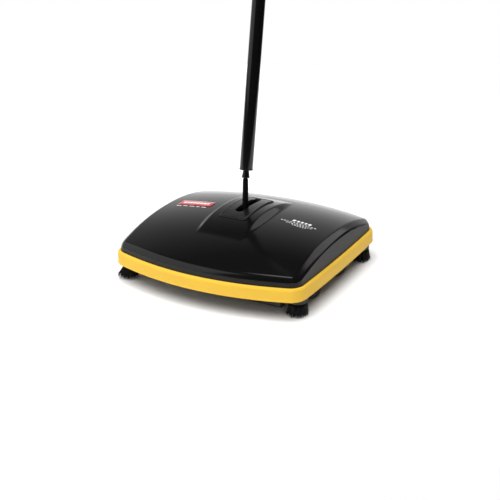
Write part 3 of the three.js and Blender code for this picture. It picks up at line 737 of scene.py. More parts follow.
def rounded(profile: Sequence[Point], radius: float, steps: int = 3,
            closed: bool = False) -> list[Point]:
    """Rounds the corners of a flat profile.

    Args:
        profile: Points of the profile.
        radius: Wanted corner radius; a short side takes what fits.
        steps: Points in each rounded corner, less one.
        closed: Whether the last point joins the first.

    Returns:
        The points of the rounded profile.
    """
    nearly_straight, most_of_side = math.radians(86), 0.42
    points = [np.array(p, float) for p in profile]
    count = len(points)
    out: list[Point] = []
    for i, corner in enumerate(points):
        before, after = points[i - 1] - corner, points[(i + 1) % count] - corner
        long_before, long_after = np.linalg.norm(before), np.linalg.norm(after)
        end = not closed and i in (0, count - 1)
        cosine = 0.0 if end else before @ after / (long_before * long_after)
        half = math.acos(max(-1.0, min(1.0, cosine))) / 2
        if end or half > nearly_straight:
            out.append(tuple(corner))
            continue
        reach = min(radius / math.tan(half), most_of_side * long_before,
                    most_of_side * long_after)
        first, last = corner + before / long_before * reach, corner + after / long_after * reach
        for t in np.linspace(0, 1, steps + 1):
            out.append(tuple((1 - t) ** 2 * first + 2 * t * (1 - t) * corner + t * t * last))
    return out


def turned_mesh(name: str, profile: Sequence[Point], origin: Vector, axis: Vector,
                sides: int = 64, edge: float = 0.4 * MM) -> bpy.types.Mesh:
    """A turned piece.

    Args:
        name: The mesh's name.
        profile: Points (radius, distance along the axis). It starts and ends on the axis, or
            else it is taken as closed.
        origin: The point where the distance along the axis is 0.
        axis: The axis's direction.
        sides: Faces round the axis.
        edge: Radius of the rounded edges.

    Returns:
        The mesh.
    """
    solid = profile[0][0] == 0 and profile[-1][0] == 0
    points = rounded(profile, edge, 3, closed=not solid)
    turn = axis.normalized().to_track_quat("Z", "Y").to_matrix()
    across, up, along = (np.array(turn.col[k]) for k in range(3))
    angles = np.linspace(0, 2 * math.pi, sides, endpoint=False)
    circle = np.outer(np.cos(angles), across) + np.outer(np.sin(angles), up)
    start = np.array(origin)
    rings = [start + radius * circle + distance * along for radius, distance in points]
    return mesh_from_rings(name, rings, closed=not solid, capped=False)


def at_height(plan: Ring, height: float) -> Ring:
    """A flat outline as a ring of points at one height."""
    return np.column_stack([plan, np.full(len(plan), height)])


def slab_mesh(name: str, outline: Ring, low: float, high: float, edge: float) -> bpy.types.Mesh:
    """A flat piece with rounded rims, from a convex outline seen from above.

    Args:
        name: The mesh's name.
        outline: Points (x, y).
        low: Height of its underside.
        high: Height of its top.
        edge: Radius of its rims.

    Returns:
        The mesh.
    """
    middle = outline.mean(0)
    step = outline - middle
    length = np.linalg.norm(step, axis=1, keepdims=True)
    rings = []
    for inset, height in rounded([(1, low), (0, low), (0, high), (1, high)], edge):
        share = 1 - min(inset, 0.9 * length.min()) / length
        rings.append(at_height(middle + step * share, height))
    return mesh_from_rings(name, rings)


def merged(name: str, meshes: Iterable[bpy.types.Mesh]) -> bpy.types.Mesh:
    """Several closed meshes as one.

    Args:
        name: The new mesh's name.
        meshes: The meshes.

    Returns:
        The new mesh.
    """
    built = bmesh.new()
    for mesh in meshes:
        built.from_mesh(mesh)
    out = bpy.data.meshes.new(name)
    built.to_mesh(out)
    built.free()
    return smooth(out)


def stadium(half_width: float, front: float, back: float, towards: Ring) -> Ring:
    """A slot's outline, with one point towards each of the given points.

    Args:
        half_width: Half of the slot's width.
        front: Its front end.
        back: Its back end.
        towards: Points (x, y) all round it.

    Returns:
        Points (x, y) on the slot's edge.
    """
    middle = np.array([0, (front + back) / 2])
    straight = (back - front) / 2 - half_width
    way = towards - middle
    way = way / np.linalg.norm(way, axis=1, keepdims=True)
    low, high = np.zeros(len(way)), np.full(len(way), back - front)
    for _ in range(40):
        here = (low + high) / 2
        point = way * here[:, None]
        over = np.maximum(np.abs(point[:, 1]) - straight, 0)
        inside = np.hypot(point[:, 0], over) < half_width
        low, high = np.where(inside, here, low), np.where(inside, high, here)
    return middle + way * low[:, None]


def rounded_rectangle(middle: Sequence[float], half_width: float, half_depth: float,
                      radius: float, steps: int) -> Ring:
    """A rounded rectangle's outline.

    Args:
        middle: Its middle.
        half_width: Half its width.
        half_depth: Half its depth.
        radius: Corner radius.
        steps: Points along each edge.

    Returns:
        Points (x, y) anticlockwise.
    """
    arcs = []
    for turn, x, y in ((-90, 1, -1), (0, 1, 1), (90, -1, 1), (180, -1, -1)):
        angles = np.radians(np.linspace(turn, turn + 90, 7))
        corner = np.array(middle) + [x * (half_width - radius), y * (half_depth - radius)]
        arcs.append(corner + radius * np.column_stack([np.cos(angles), np.sin(angles)]))
    share = np.arange(1, steps)[:, None] / steps
    points = []
    for arc, following in zip(arcs, arcs[1:] + arcs[:1]):
        points += [arc, arc[-1] + (following[0] - arc[-1]) * share]
    return np.concatenate(points)


# ------------------------------------------------------------------ geometry node trees


class GeometryTree(NamedTree):
    """A Geometry Nodes tree with named inputs, run once for each piece it makes."""

    def __init__(self, name: str, inputs: dict[str, object]) -> None:
        """Starts the tree.

        Args:
            name: Its name.
            inputs: Input name to its default value.
        """
        shape = "NodeSocketGeometry"
        super().__init__(name, "GeometryNodeTree", {
            "Geometry": shape, **inputs, "Finish": "NodeSocketMaterial"}, {"Geometry": shape})

    def position(self) -> Term:
        """Where each point lies."""
        return self.term("GeometryNodeInputPosition")

    def random(self, low: object, high: object, key: int) -> Term:
        """A random number for each point, with its own key and the tree's seed."""
        return self.term("FunctionNodeRandomValue", {
            2: low, 3: high, "Seed": self.value("Seed") + float(key)}, 1, data_type="FLOAT")

    def bristle(self, sides: int, segments: int, length: Term, taper: float) -> Term:
        """One bristle along Z, as thick as the tree's Thickness at its root.

        Args:
            sides: Faces round it.
            segments: Faces along it.
            length: Its length.
            taper: The tip's thickness as a share of the root's.

        Returns:
            The bristle.
        """
        thickness = self.value("Thickness")
        return self.term("GeometryNodeMeshCone", {
            "Vertices": sides, "Side Segments": segments, "Depth": length,
            "Radius Top": thickness * taper, "Radius Bottom": thickness})

    def facing(self, way: Term) -> Term:
        """The turn that brings Z to a direction."""
        return self.term("FunctionNodeAlignRotationToVector", {"Vector": way}, axis="Z")

    def copies(self, points: Term, shape: Term, **how: Term) -> Term:
        """A copy of a shape on each point, with its Rotation and Scale."""
        return self.term("GeometryNodeInstanceOnPoints", {
            "Points": points, "Instance": shape, **how})

    def moved(self, geometry: Term, **where: Term) -> Term:
        """A shape whose points take a new Position or an Offset."""
        return self.term("GeometryNodeSetPosition", {"Geometry": geometry, **where})

    def laid(self, geometry: Term, place: Term, turn: Triple = ORIGIN) -> Term:
        """A whole shape, turned and then put in its place."""
        return self.term("GeometryNodeTransform", {
            "Geometry": geometry, "Translation": place, "Rotation": turn})

    def finished(self, geometry: Term) -> "GeometryTree":
        """Ends the tree with Realize Instances and Set Material.

        Args:
            geometry: What the tree has made.

        Returns:
            The finished tree.
        """
        real = self.term("GeometryNodeRealizeInstances", {0: geometry})
        fill(self.out, {0: self.term("GeometryNodeSetMaterial", {
            "Geometry": real, "Material": self.value("Finish")})})
        return self

    def run(self, name: str, finish: Finishes, start: bpy.types.Mesh | None = None,
            **values: object) -> bpy.types.Mesh:
        """Runs the tree.

        Args:
            name: The new mesh's name.
            finish: The finish that Set Material puts on.
            start: The mesh it starts from, if it needs one.
            values: Input values, with underscores for spaces.

        Returns:
            The result as a plain mesh.
        """
        known = {item.name: item.identifier for item in self.tree.interface.items_tree
                 if item.in_out == "INPUT"}
        values["Finish"] = finish.value.material()
        sockets = {known[key.replace("_", " ")]: value for key, value in values.items()}
        made = modified(start or new_mesh(name + "_start", ()), "NODES",
                        {"node_group": self.tree}, sockets)
        made.name = name
        return made


@dataclass(frozen=True)
class CoverRule:
    """The rule of the cover's surface: an arch each way, a crease by each side, and the fairing."""

    foot: float = 58.1 * MM
    vault_rise: float = 23.35 * MM
    vault_power: float = 2.19
    vault_end: float = 130.75 * MM
    crown_rise: float = 10.5 * MM
    crease: float = 137.1 * MM
    facet_width: float = 9.5 * MM
    facet_drop: float = 6.85 * MM
    crease_radius: float = 1.1 * MM
    fairing_middle: float = -3.5 * MM
    fairing_half: float = 81.5 * MM
    fairing_rise: float = 8 * MM
    fairing_bury: float = 0.6 * MM
    fairing_top: float = 35 * MM
    fairing_foot: float = 38.5 * MM
    fairing_swell: float = 7 * MM
    fairing_depth: float = 1.2 * MM
    fairing_fillet: float = 1.3 * MM

    def sizes(self) -> dict[str, float]:
        """Each size by its input's name, such as "Vault Rise"."""
        return {key.replace("_", " ").title(): size for key, size in vars(self).items()}

    def tree(self) -> GeometryTree:
        """Builds the tree that lifts a flat net of points onto the surface.

        A point's own numbers say how far it stands off the surface (lift) and how far it follows
        it (follow, from 0 to 1).

        Returns:
            The tree.
        """
        made = GeometryTree("cover_surface_rule", {"Head Middle": 0.0, **self.sizes()})
        size = made.value
        x, y, z = made.parts(made.position())
        aside, along = abs(x), y - size("Head Middle")
        arch = 1.0 - (abs(along) / size("Vault End")) ** size("Vault Power")
        inner = math_term("SMOOTH_MIN", aside, size("Crease"), size("Crease Radius"))
        across = inner / size("Crease")
        crown = 1.0 - across * across
        beyond = math_term("SMOOTH_MAX", aside - size("Crease"), 0.0, size("Crease Radius"))
        beyond = math_term("MINIMUM", beyond / size("Facet Width"), 1.0)
        height = arch * size("Vault Rise") + size("Foot")
        height = height + crown * size("Crown Rise") - beyond * size("Facet Drop")
        q = (along - size("Fairing Middle")) / size("Fairing Half")
        swell = 1.0 - q * q
        bury = size("Fairing Bury")
        lift = (size("Fairing Rise") + bury) * swell - bury
        foot = size("Fairing Swell") * swell + size("Fairing Foot")
        run = math_term("MAXIMUM", foot - size("Fairing Top"), 0.001)
        down = math_term("SMOOTH_MAX", (aside - size("Fairing Top")) / run, 0.0, 0.14)
        level = (math_term("MAXIMUM", lift, 0.0) * (1.0 - down)
                 + math_term("MINIMUM", lift, 0.0))
        ridge = level - down * size("Fairing Depth")
        height = height + math_term("SMOOTH_MAX", ridge, 0.0, size("Fairing Fillet"))
        own_lift, follow = (made.term("GeometryNodeInputNamedAttribute", {"Name": key},
                                      data_type="FLOAT") for key in Net.NUMBERS)
        height = (height + own_lift) * follow + z * (1.0 - follow)
        return made.finished(made.moved(size("Geometry"), Position=made.vector(x, y, height)))

    def fairing_height(self, y: float) -> float:
        """Height of the fairing's ridge, for y from the head's middle.

        Args:
            y: How far back from the head's middle.

        Returns:
            The height.
        """
        arch = self.vault_rise * (1 - abs(y / self.vault_end) ** self.vault_power)
        q = (y - self.fairing_middle) / self.fairing_half
        ridge = (self.fairing_rise + self.fairing_bury) * (1 - q * q) - self.fairing_bury
        return self.foot + arch + self.crown_rise + ridge


def bristle_ring_tree() -> GeometryTree:
    """A brush's ring of bristles that splay and bend outwards towards their tips.

    Returns:
        The tree.
    """
    made = GeometryTree("bristle_ring", {
        "Count": 400, "Seed": 1, "Middle": ORIGIN, "Lean": ORIGIN, "Inner Radius": 0.007,
        "Outer Radius": 0.012, "Length": 0.018, "Splay": 0.12, "Scatter": 0.05, "Bend": 0.003,
        "Thickness": 0.0003})
    size = made.value
    angle = made.random(0.0, 2 * math.pi, 1)
    radius = math_term("SQRT", made.random(size("Inner Radius") ** 2.0,
                                           size("Outer Radius") ** 2.0, 2))
    around = (math_term("COSINE", angle), math_term("SINE", angle))
    place = made.vector(*(part * radius for part in around), 0.0)
    points = made.term("GeometryNodePoints", {"Count": size("Count"), "Position": place})
    outward = radius / size("Outer Radius")
    tilt = outward * outward * size("Splay")
    sideways = [part * tilt + made.random(-1.0, 1.0, 3 + k) * size("Scatter")
                for k, part in enumerate(around)]
    way = made.vectors("ADD", made.vector(*sideways, -1.0), size("Lean"))
    strands = made.copies(points, made.bristle(5, 3, size("Length"), 0.6),
                          Rotation=made.facing(way),
                          Scale=made.vector(1.0, 1.0, made.random(0.9, 1.03, 7)))
    strands = made.term("GeometryNodeRealizeInstances", {0: strands})
    x, y, z = made.parts(made.position())
    reach = math_term("SQRT", x * x + y * y)
    drop = z / size("Length")
    curl = drop * drop * size("Bend") * (reach / size("Outer Radius")) ** 3.0
    bent = made.moved(strands, Offset=made.vector(x / reach * curl, y / reach * curl, 0.0))
    return made.finished(made.laid(bent, size("Middle")))


def bristle_row_tree() -> GeometryTree:
    """A row of bristle tufts that winds round a roller's core.

    Returns:
        The tree.
    """
    made = GeometryTree("bristle_row", {
        "Tufts": 60, "Strands": 12, "Seed": 1, "Middle": ORIGIN, "Start": 0.0, "Twist": 1.0,
        "Half Length": 0.1, "Root Radius": 0.013, "Tip Radius": 0.027, "Tuft Radius": 0.0012,
        "Splay": 0.1, "Thickness": 0.0002})
    size = made.value
    root, spread = size("Root Radius"), size("Tuft Radius")
    tuft = math_term("FLOOR", made.term("GeometryNodeInputIndex") / size("Strands"))
    along = tuft / (size("Tufts") - 1.0) * 2.0 - 1.0
    aside, ahead = (made.random(-1.0, 1.0, key) for key in (11, 12))
    angle = along * (size("Twist") * 0.5) + size("Start") + aside * (spread / root)
    down, up = math_term("SINE", angle) * -1.0, math_term("COSINE", angle)
    place = made.vector(ahead * spread + along * size("Half Length"), down * root, up * root)
    points = made.term("GeometryNodePoints", {
        "Count": size("Tufts") * size("Strands"), "Position": place})
    lean = aside * size("Splay")
    way = made.vector(ahead * size("Splay"), down + lean * up, up - lean * down)
    strand = made.bristle(4, 1, size("Tip Radius") - root, 0.7)
    strands = made.copies(points, strand, Rotation=made.facing(way),
                          Scale=made.vector(1.0, 1.0, made.random(0.93, 0.995, 19)))
    return made.finished(made.laid(strands, size("Middle")))


def tread_tree() -> GeometryTree:
    """Cross grooves in a tyre's tread: points out at the tread sink where a groove is.

    Returns:
        The tree.
    """
    made = GeometryTree("tread_grooves", {
        "Middle": ORIGIN, "Grooves": 36.0, "Tread Radius": 0.028, "Depth": 0.0009,
        "Tread Band": 0.0012, "Skew": 26.0})
    size = made.value
    x, y, z = made.parts(made.vectors("SUBTRACT", made.position(), size("Middle")))
    radius = math_term("SQRT", y * y + z * z)
    skewed = abs(x) * size("Skew") + math_term("ARCTAN2", z, y)
    groove = made.ranged(math_term("SINE", skewed * size("Grooves")), 0.35, 0.75)
    outer = made.ranged(radius, size("Tread Radius") - size("Tread Band"), size("Tread Radius"))
    share = 1.0 - groove * outer * size("Depth") / radius
    back = made.vectors("ADD", made.vector(x, y * share, z * share), size("Middle"))
    return made.finished(made.moved(size("Geometry"), Position=back))


def coil_tree() -> GeometryTree:
    """A torsion spring: wire wound round a rod that runs along X.

    Returns:
        The tree.
    """
    made = GeometryTree("wound_spring", {
        "Middle": ORIGIN, "Turns": 3.0, "Radius": 0.003, "Pitch": 0.002, "Wire": 0.0006})
    size = made.value
    length = size("Turns") * size("Pitch")
    spiral = made.term("GeometryNodeCurveSpiral", {
        "Resolution": 28, "Rotations": size("Turns"), "Start Radius": size("Radius"),
        "End Radius": size("Radius"), "Height": length})
    wire = made.term("GeometryNodeCurvePrimitiveCircle", {
        "Resolution": 12, "Radius": size("Wire")})
    swept = made.term("GeometryNodeCurveToMesh", {
        "Curve": spiral, "Profile Curve": wire, "Fill Caps": True})
    centred = made.laid(swept, made.vector(0.0, 0.0, length * -0.5))
    return made.finished(made.laid(centred, size("Middle"), (0.0, math.pi / 2, 0.0)))


def rib_tree() -> GeometryTree:
    """A row of equal ribs along X, each a small block.

    Returns:
        The tree.
    """
    made = GeometryTree("rib_row", {
        "Middle": ORIGIN, "Count": 8, "Length": 0.2, "Size": (0.002, 0.03, 0.001)})
    size = made.value
    half = size("Length") * 0.5
    line = made.term("GeometryNodeMeshLine", {
        "Count": size("Count"), "Start Location": made.vector(half * -1.0, 0.0, 0.0),
        "Offset": made.vector(half, 0.0, 0.0)}, mode="END_POINTS")
    block = made.term("GeometryNodeMeshCube", {"Size": size("Size")})
    return made.finished(made.laid(made.copies(line, block), size("Middle")))


def rivet_tree() -> GeometryTree:
    """A domed rivet on each point of a start mesh, along one direction.

    Returns:
        The tree.
    """
    made = GeometryTree("rivets", {
        "Radius": 0.002, "Height": 0.001, "Direction": (0.0, 0.0, 1.0)})
    size = made.value
    dome = made.term("GeometryNodeMeshUVSphere", {
        "Segments": 16, "Rings": 8, "Radius": size("Radius")})
    return made.finished(made.copies(
        size("Geometry"), dome, Rotation=made.facing(size("Direction")),
        Scale=made.vector(1.0, 1.0, size("Height") / size("Radius"))))


# ------------------------------------------------------------------ the workshop


@dataclass
class Workshop:
    """Puts each finished mesh on its body."""

    made: list[str] = field(default_factory=list)

    def piece(self, name: str, mesh: bpy.types.Mesh, body: str, finish: Finishes,
              *replaced: str) -> None:
        """Makes a piece of the sweeper from its mesh.

        Args:
            name: The piece's name.
            mesh: Its mesh, in the sweeper's own frame.
            body: The body that carries it.
            finish: Its finish.
            replaced: The CAD nodes that it stands for.
        """
        mesh.materials.clear()
        mesh.materials.append(finish.value.material())
        thing = linked(name, mesh)
        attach(thing, body)
        if replaced:
            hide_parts(*replaced)
        self.made.append(name)
        log.info("%s: %d faces on %s", name, len(mesh.polygons), body)

    def turned(self, name: str, profile: Sequence[Point], line: tuple[Vector, Vector], body: str,
               finish: Finishes, node: str, sides: int = 64, edge: float = 0.4 * MM) -> None:
        """Makes a turned piece that stands for a CAD node.

        Args:
            name: The piece's name.
            profile: Points (radius, distance along the axis).
            line: The axis's starting point and direction.
            body: The body that carries it.
            finish: Its finish.
            node: The CAD node.
            sides: Faces round the axis.
            edge: Radius of the rounded edges.
        """
        self.piece(name, turned_mesh(name, profile, *line, sides, edge), body, finish, node)

    def softened(self, node: str, body: str, finish: Finishes, width: float) -> None:
        """Replaces a CAD node with a copy of itself that has rounded edges.

        Args:
            node: The CAD node.
            body: Its body.
            finish: Its finish.
            width: The rounding's width.
        """
        built = bmesh.new()
        built.from_mesh(frame["nodes"][node].data)
        bmesh.ops.remove_doubles(built, verts=built.verts, dist=2e-6)
        bmesh.ops.dissolve_limit(built, angle_limit=math.radians(1.0), verts=built.verts,
                                 edges=built.edges)
        copy = bpy.data.meshes.new(node + "_copy")
        built.to_mesh(copy)
        built.free()
        mesh = modified(copy, "BEVEL", {
            "width": width, "segments": 2, "limit_method": "ANGLE", "angle_limit": SHARP_ANGLE})
        self.piece(node + "_finished", smooth(mesh), body, finish, node)


# ------------------------------------------------------------------ head


@dataclass
class HeadPlan:
    """The head seen from above: a rounded rectangle whose four edges bow out."""

    half_width: float = 152.5 * MM
    half_depth: float = 133.5 * MM
    end_bulge: float = 21.5 * MM
    side_bulge: float = 2 * MM
    corner_radius: float = 24.8 * MM
    edge_steps: int = 84
    corner_steps: int = 22

    def outline(self, inset: float) -> tuple[Ring, np.ndarray]:
        """The plan's outline, set in by a distance.

        Args:
            inset: How far it is set in.

        Returns:
            Its points (x, y), and for each point how much it faces front or back, 0 to 1.
        """
        a, b = self.half_width - self.corner_radius, self.half_depth - self.corner_radius
        radius = self.corner_radius - inset
        edges = ((a, b, -1, 0, a, self.end_bulge), (-a, b, 0, -1, b, self.side_bulge),
                 (-a, -b, 1, 0, a, self.end_bulge), (a, -b, 0, 1, b, self.side_bulge))
        t = np.linspace(-1, 1, self.edge_steps + 1)
        feet, normals = [], []
        for x, y, step_x, step_y, half, bulge in edges:
            way, out = np.array([step_x, step_y]), np.array([step_y, -step_x])
            feet.append(np.array([x, y]) + np.outer(half * (1 + t), way)
                        + np.outer(bulge * (1 - t * t), out))
            normal = out + np.outer(2 * bulge * t / half, way)
            normals.append(normal / np.linalg.norm(normal, axis=1, keepdims=True))
        share = (np.arange(1, self.corner_steps) / self.corner_steps)[:, None]
        points, endwise = [], []
        for i in range(4):
            last, first = normals[i][-1], normals[(i + 1) % 4][0]
            turn = math.atan2(last[0] * first[1] - last[1] * first[0], last @ first)
            angle = math.atan2(last[1], last[0]) + turn * share[:, 0]
            arc = np.column_stack([np.cos(angle), np.sin(angle)])
            between = (1 - share) * feet[i][-1] + share * feet[(i + 1) % 4][0]
            points += [feet[i] + radius * normals[i], between + radius * arc]
            endwise += [normals[i][:, 1] ** 2, arc[:, 1] ** 2]
        return np.concatenate(points) + np.array([0, HEAD_Y]), np.concatenate(endwise)


@dataclass
class Net:
    """Rings of points with the two numbers that the cover's rule reads."""

    NUMBERS = ("lift", "follow")

    rings: list[Ring] = field(default_factory=list)
    lift: list[np.ndarray] = field(default_factory=list)
    follow: list[np.ndarray] = field(default_factory=list)

    def add(self, plan: Ring, lift: object = 0.0, height: float = 0.0,
            follow: float = 1.0) -> None:
        """Adds a ring.

        Args:
            plan: Its points (x, y).
            lift: How far they stand off the surface.
            height: Their height where they don't follow the surface.
            follow: How far they follow it, 0 to 1.
        """
        self.rings.append(at_height(plan, height))
        self.lift.append(np.broadcast_to(np.asarray(lift, float), len(plan)))
        self.follow.append(np.full(len(plan), follow))

    def shrunk(self, outer: Ring, inner: object, shares: Iterable[float], lift: float) -> None:
        """Adds a ring at each share of the way from an inner ring or point to an outer ring."""
        for share in shares:
            self.add(inner + (outer - inner) * share, lift)

    def mesh(self, name: str) -> bpy.types.Mesh:
        """The rings as a closed mesh whose points carry the two numbers.

        Args:
            name: The mesh's name.

        Returns:
            The mesh.
        """
        faces = ring_faces(len(self.rings[0]), len(self.rings), True)
        made = new_mesh(name, np.concatenate(self.rings).tolist(), faces)
        for key in self.NUMBERS:
            column = made.attributes.new(key, "FLOAT", "POINT")
            numbers = np.concatenate(getattr(self, key)).astype(np.float32)
            column.data.foreach_set("value", numbers)
        return made


@dataclass
class Head:
    """The housing's outer pieces: cover, slot plate, label and bumper band."""

    plan: HeadPlan = field(default_factory=HeadPlan)
    rule: CoverRule = field(default_factory=CoverRule)
    wall: float = 2.4 * MM
    cover_inset: float = 5.7 * MM
    cover_foot: float = 30.3 * MM
    skin_steps: tuple[float, ...] = (0.7, 0.95, 1.25, 1.6, 2.0, 2.5, 3.1, 3.8, 4.7, 5.7, 6.9,
                                     8.3, 10)
    turn_shares: tuple[float, ...] = (0.3, 0.6, 0.85, 0.96)
    band_foot: float = 29 * MM
    band_top: float = 48.5 * MM
    band_thickness: float = 5.4 * MM
    facet_edge: float = 146.6 * MM
    edge_round: float = 6.3 * MM
    edge_reach: float = 10 * MM
    edge_power: float = 4.4
    side_round: float = 1.3 * MM
    side_reach: float = 3.8 * MM
    side_power: float = 2.4
    slot_half: float = 6.5 * MM
    slot_front: float = -27 * MM
    slot_back: float = 30 * MM
    slot_lip: tuple[Point, ...] = ((0.55, 0), (0.16, -0.16), (0, -0.5))
    plate_half: float = 21.5 * MM
    plate_front: float = -44 * MM
    plate_back: float = 45 * MM
    plate_thickness: float = 1.5 * MM
    plate_gap: float = 0.3 * MM
    plate_corner: float = 2.2 * MM
    plate_rim: tuple[Point, ...] = ((0.0, -0.8), (0.2, -0.5), (1.0, 0.2), (1.4, 0.4), (1.9, 0.4),
                                    (2.3, 0.1), (2.7, 0.0))
    hook_half: Point = (4.2 * MM, 2.5 * MM)
    hook_behind: float = 3.5 * MM
    hook_corner: float = 1.2 * MM
    hook_heights: Point = (1 * MM, 3.3 * MM)
    label_half: Point = (28.5 * MM, 9 * MM)
    label_corner: float = 1.5 * MM
    label_thickness: float = 0.5 * MM
    label_gap: float = 0.1 * MM
    label_edge: float = 0.12 * MM

    def build(self, shop: Workshop, tree: GeometryTree) -> None:
        """Makes the four pieces.

        Args:
            shop: The workshop.
            tree: The cover's rule.
        """
        shop.piece("cover", self.follow(tree, "cover", self.cover_net(), Finishes.GLOSS_BLACK),
                   "housing", Finishes.GLOSS_BLACK, "top_cover")
        plate = self.follow(tree, "slot_frame", self.plate_net(), Finishes.SATIN_BLACK)
        plate = merged("slot_frame_and_hook", [plate, self.hook_mesh()])
        shop.piece("slot_frame", plate, "housing", Finishes.SATIN_BLACK, "slot_plate")
        badge = self.follow(tree, "badge", self.label_net(), Finishes.LABEL_RED)
        shop.piece("badge", badge, "housing", Finishes.LABEL_RED, "label_plate")
        shop.piece("bumper", self.band_mesh(), "housing", Finishes.BUMPER_YELLOW, "bumper_band")

    def follow(self, tree: GeometryTree, name: str, net: Net, finish: Finishes) -> bpy.types.Mesh:
        """Lifts a net onto the cover's surface.

        Args:
            tree: The cover's rule.
            name: The mesh's name.
            net: The net.
            finish: Its finish.

        Returns:
            The lifted mesh.
        """
        sizes = {key.replace(" ", "_"): size for key, size in self.rule.sizes().items()}
        mesh = tree.run(name, finish, net.mesh(name + "_net"), Head_Middle=HEAD_Y, **sizes)
        for key in net.NUMBERS:
            column = mesh.attributes.get(key)
            if column:
                mesh.attributes.remove(column)
        return settled(mesh)

    def edge_drop(self, distance: float, endwise: np.ndarray) -> np.ndarray:
        """How far the cover's edges are rounded down.

        Args:
            distance: How far in from the wall.
            endwise: How much each point faces front or back, 0 to 1.

        Returns:
            The drop at each point.
        """
        first = self.skin_steps[0] * MM
        ends, sides = (depth * (max(reach - distance, 0) / (reach - first)) ** power
                       for depth, reach, power in (
                           (self.edge_round, self.edge_reach, self.edge_power),
                           (self.side_round, self.side_reach, self.side_power)))
        return endwise * ends + (1 - endwise) * sides

    def clipped(self, inset: float, limit: float) -> tuple[Ring, np.ndarray]:
        """The plan's outline set in, and cut off at the facets' edges.

        Args:
            inset: How far it is set in.
            limit: The facets' edge, from the middle.

        Returns:
            Its points (x, y), and for each point how much it faces front or back, 0 to 1.
        """
        ring, endwise = self.plan.outline(inset)
        ring[:, 0] = np.clip(ring[:, 0], -limit, limit)
        return ring, endwise

    def cover_net(self) -> Net:
        """The cover's skin, from its foot up and over to the slot, and back along its underside.

        Returns:
            The net.
        """
        net = Net()
        foot, _ = self.plan.outline(self.cover_inset)
        inside, _ = self.plan.outline(self.cover_inset + self.wall)
        half_way = self.band_foot + 0.6 * (self.band_top - self.band_foot)
        for height in (self.cover_foot, half_way, self.band_top):
            net.add(foot, height=height, follow=0)
        start, end = self.skin_steps[0], self.skin_steps[-1]
        for step in self.skin_steps:
            share = (step - start) / (end - start)
            limit = self.facet_edge - share * (self.facet_edge - self.rule.crease)
            rim, endwise = self.clipped(self.cover_inset + step * MM, limit)
            lift = -self.edge_drop(step * MM, endwise)
            for part in self.turn_shares if step == start else ():
                net.add(foot + (rim - foot) * part, lift, self.band_top, part)
            net.add(rim, lift)
        slot = self.slot_ring(rim, 0)
        net.shrunk(rim, slot, np.linspace(1, 0, 96)[1:], 0)
        net.shrunk(rim * [1 - self.wall / self.rule.crease, 1], slot, np.linspace(0, 1, 30),
                   -self.wall)
        under, endwise = self.clipped(self.cover_inset + self.wall + 1 * MM,
                                      self.facet_edge - self.wall)
        net.add(under, -self.wall - endwise * self.edge_round)
        for height in (self.band_top, self.cover_foot):
            net.add(inside, height=height, follow=0)
        return net

    def slot_ring(self, towards: Ring, grow: float) -> Ring:
        """The slot's edge, with a point towards each given point."""
        return stadium(self.slot_half + grow, HEAD_Y + self.slot_front - grow,
                       HEAD_Y + self.slot_back + grow, towards)

    def plate_net(self) -> Net:
        """The plate round the slot, raised on the fairing.

        Returns:
            The net.
        """
        net = Net()
        middle = np.array([0, HEAD_Y + (self.plate_front + self.plate_back) / 2])
        edge = rounded_rectangle(middle, self.plate_half,
                                 (self.plate_back - self.plate_front) / 2, self.plate_corner, 40)
        slot, top = self.slot_ring(edge, 0), self.plate_gap + self.plate_thickness
        net.add(edge, self.plate_gap)
        for inset, above in self.plate_rim:
            net.add(edge - np.sign(edge - middle) * inset * MM, top + above * MM)
        net.shrunk(edge, slot, np.linspace(0.84, 0.1, 16), top)
        for grow, above in self.slot_lip:
            net.add(self.slot_ring(edge, grow * MM), top + above * MM)
        net.add(slot, self.plate_gap)
        net.shrunk(edge, slot, np.linspace(0.25, 0.9, 5), self.plate_gap)
        return net

    def hook_mesh(self) -> bpy.types.Mesh:
        """The small raised stop behind the slot, over which the stem is locked upright.

        Returns:
            The mesh.
        """
        y = self.slot_back + self.hook_behind
        outline = rounded_rectangle((0, HEAD_Y + y), *self.hook_half, self.hook_corner, 8)
        low, high = (self.rule.fairing_height(y) + height for height in self.hook_heights)
        return slab_mesh("hook", outline, low, high, 0.7 * MM)

    def label_net(self) -> Net:
        """The label, a thin plate bent to the cover.

        Returns:
            The net.
        """
        net, middle = Net(), np.array([LABEL.x, LABEL.y])
        edge = rounded_rectangle(middle, *self.label_half, self.label_corner, 24)
        gap, top = self.label_gap, self.plate_gap + self.label_thickness
        for share, lift in ((1, gap), (1, top - self.label_edge), (0.985, top)):
            net.add(middle + (edge - middle) * share, lift)
        net.shrunk(edge, middle, np.linspace(0.9, 0.0, 9), top)
        net.shrunk(edge, middle, np.linspace(0, 0.96, 6), gap)
        return net

    def band_mesh(self) -> bpy.types.Mesh:
        """The soft bumper: a flat wall, a rounded top edge and a small lip along its foot.

        Returns:
            The mesh.
        """
        thickness, foot, top = self.band_thickness / MM, self.band_foot / MM, self.band_top / MM
        outer = [(0.9, foot), (0.05, foot + 0.6), (0, foot + 1.6), (0.15, foot + 2.6),
                 (0.5, foot + 3.3), (0.5, top - 5.2), (0.62, top - 4.1), (0.95, top - 2.9),
                 (1.5, top - 1.75), (2.3, top - 0.8), (3.2, top - 0.22), (4.2, top)]
        inner = [(thickness - 0.3, top), (thickness, top - 0.4), (thickness, foot + 0.4),
                 (thickness - 0.3, foot)]
        rings = [at_height(self.plan.outline(inset * MM)[0], height * MM)
                 for inset, height in rounded(outer + inner, 0.25, 2, closed=True)]
        return mesh_from_rings("bumper", rings, closed=True)


# ------------------------------------------------------------------ under the cover

SIDES = (("left", -1), ("right", 1))
ENDS = (("front", -1), ("rear", 1))
CORNERS = tuple((f"{end}_{side}", x, y) for end, y in ENDS for side, x in SIDES)


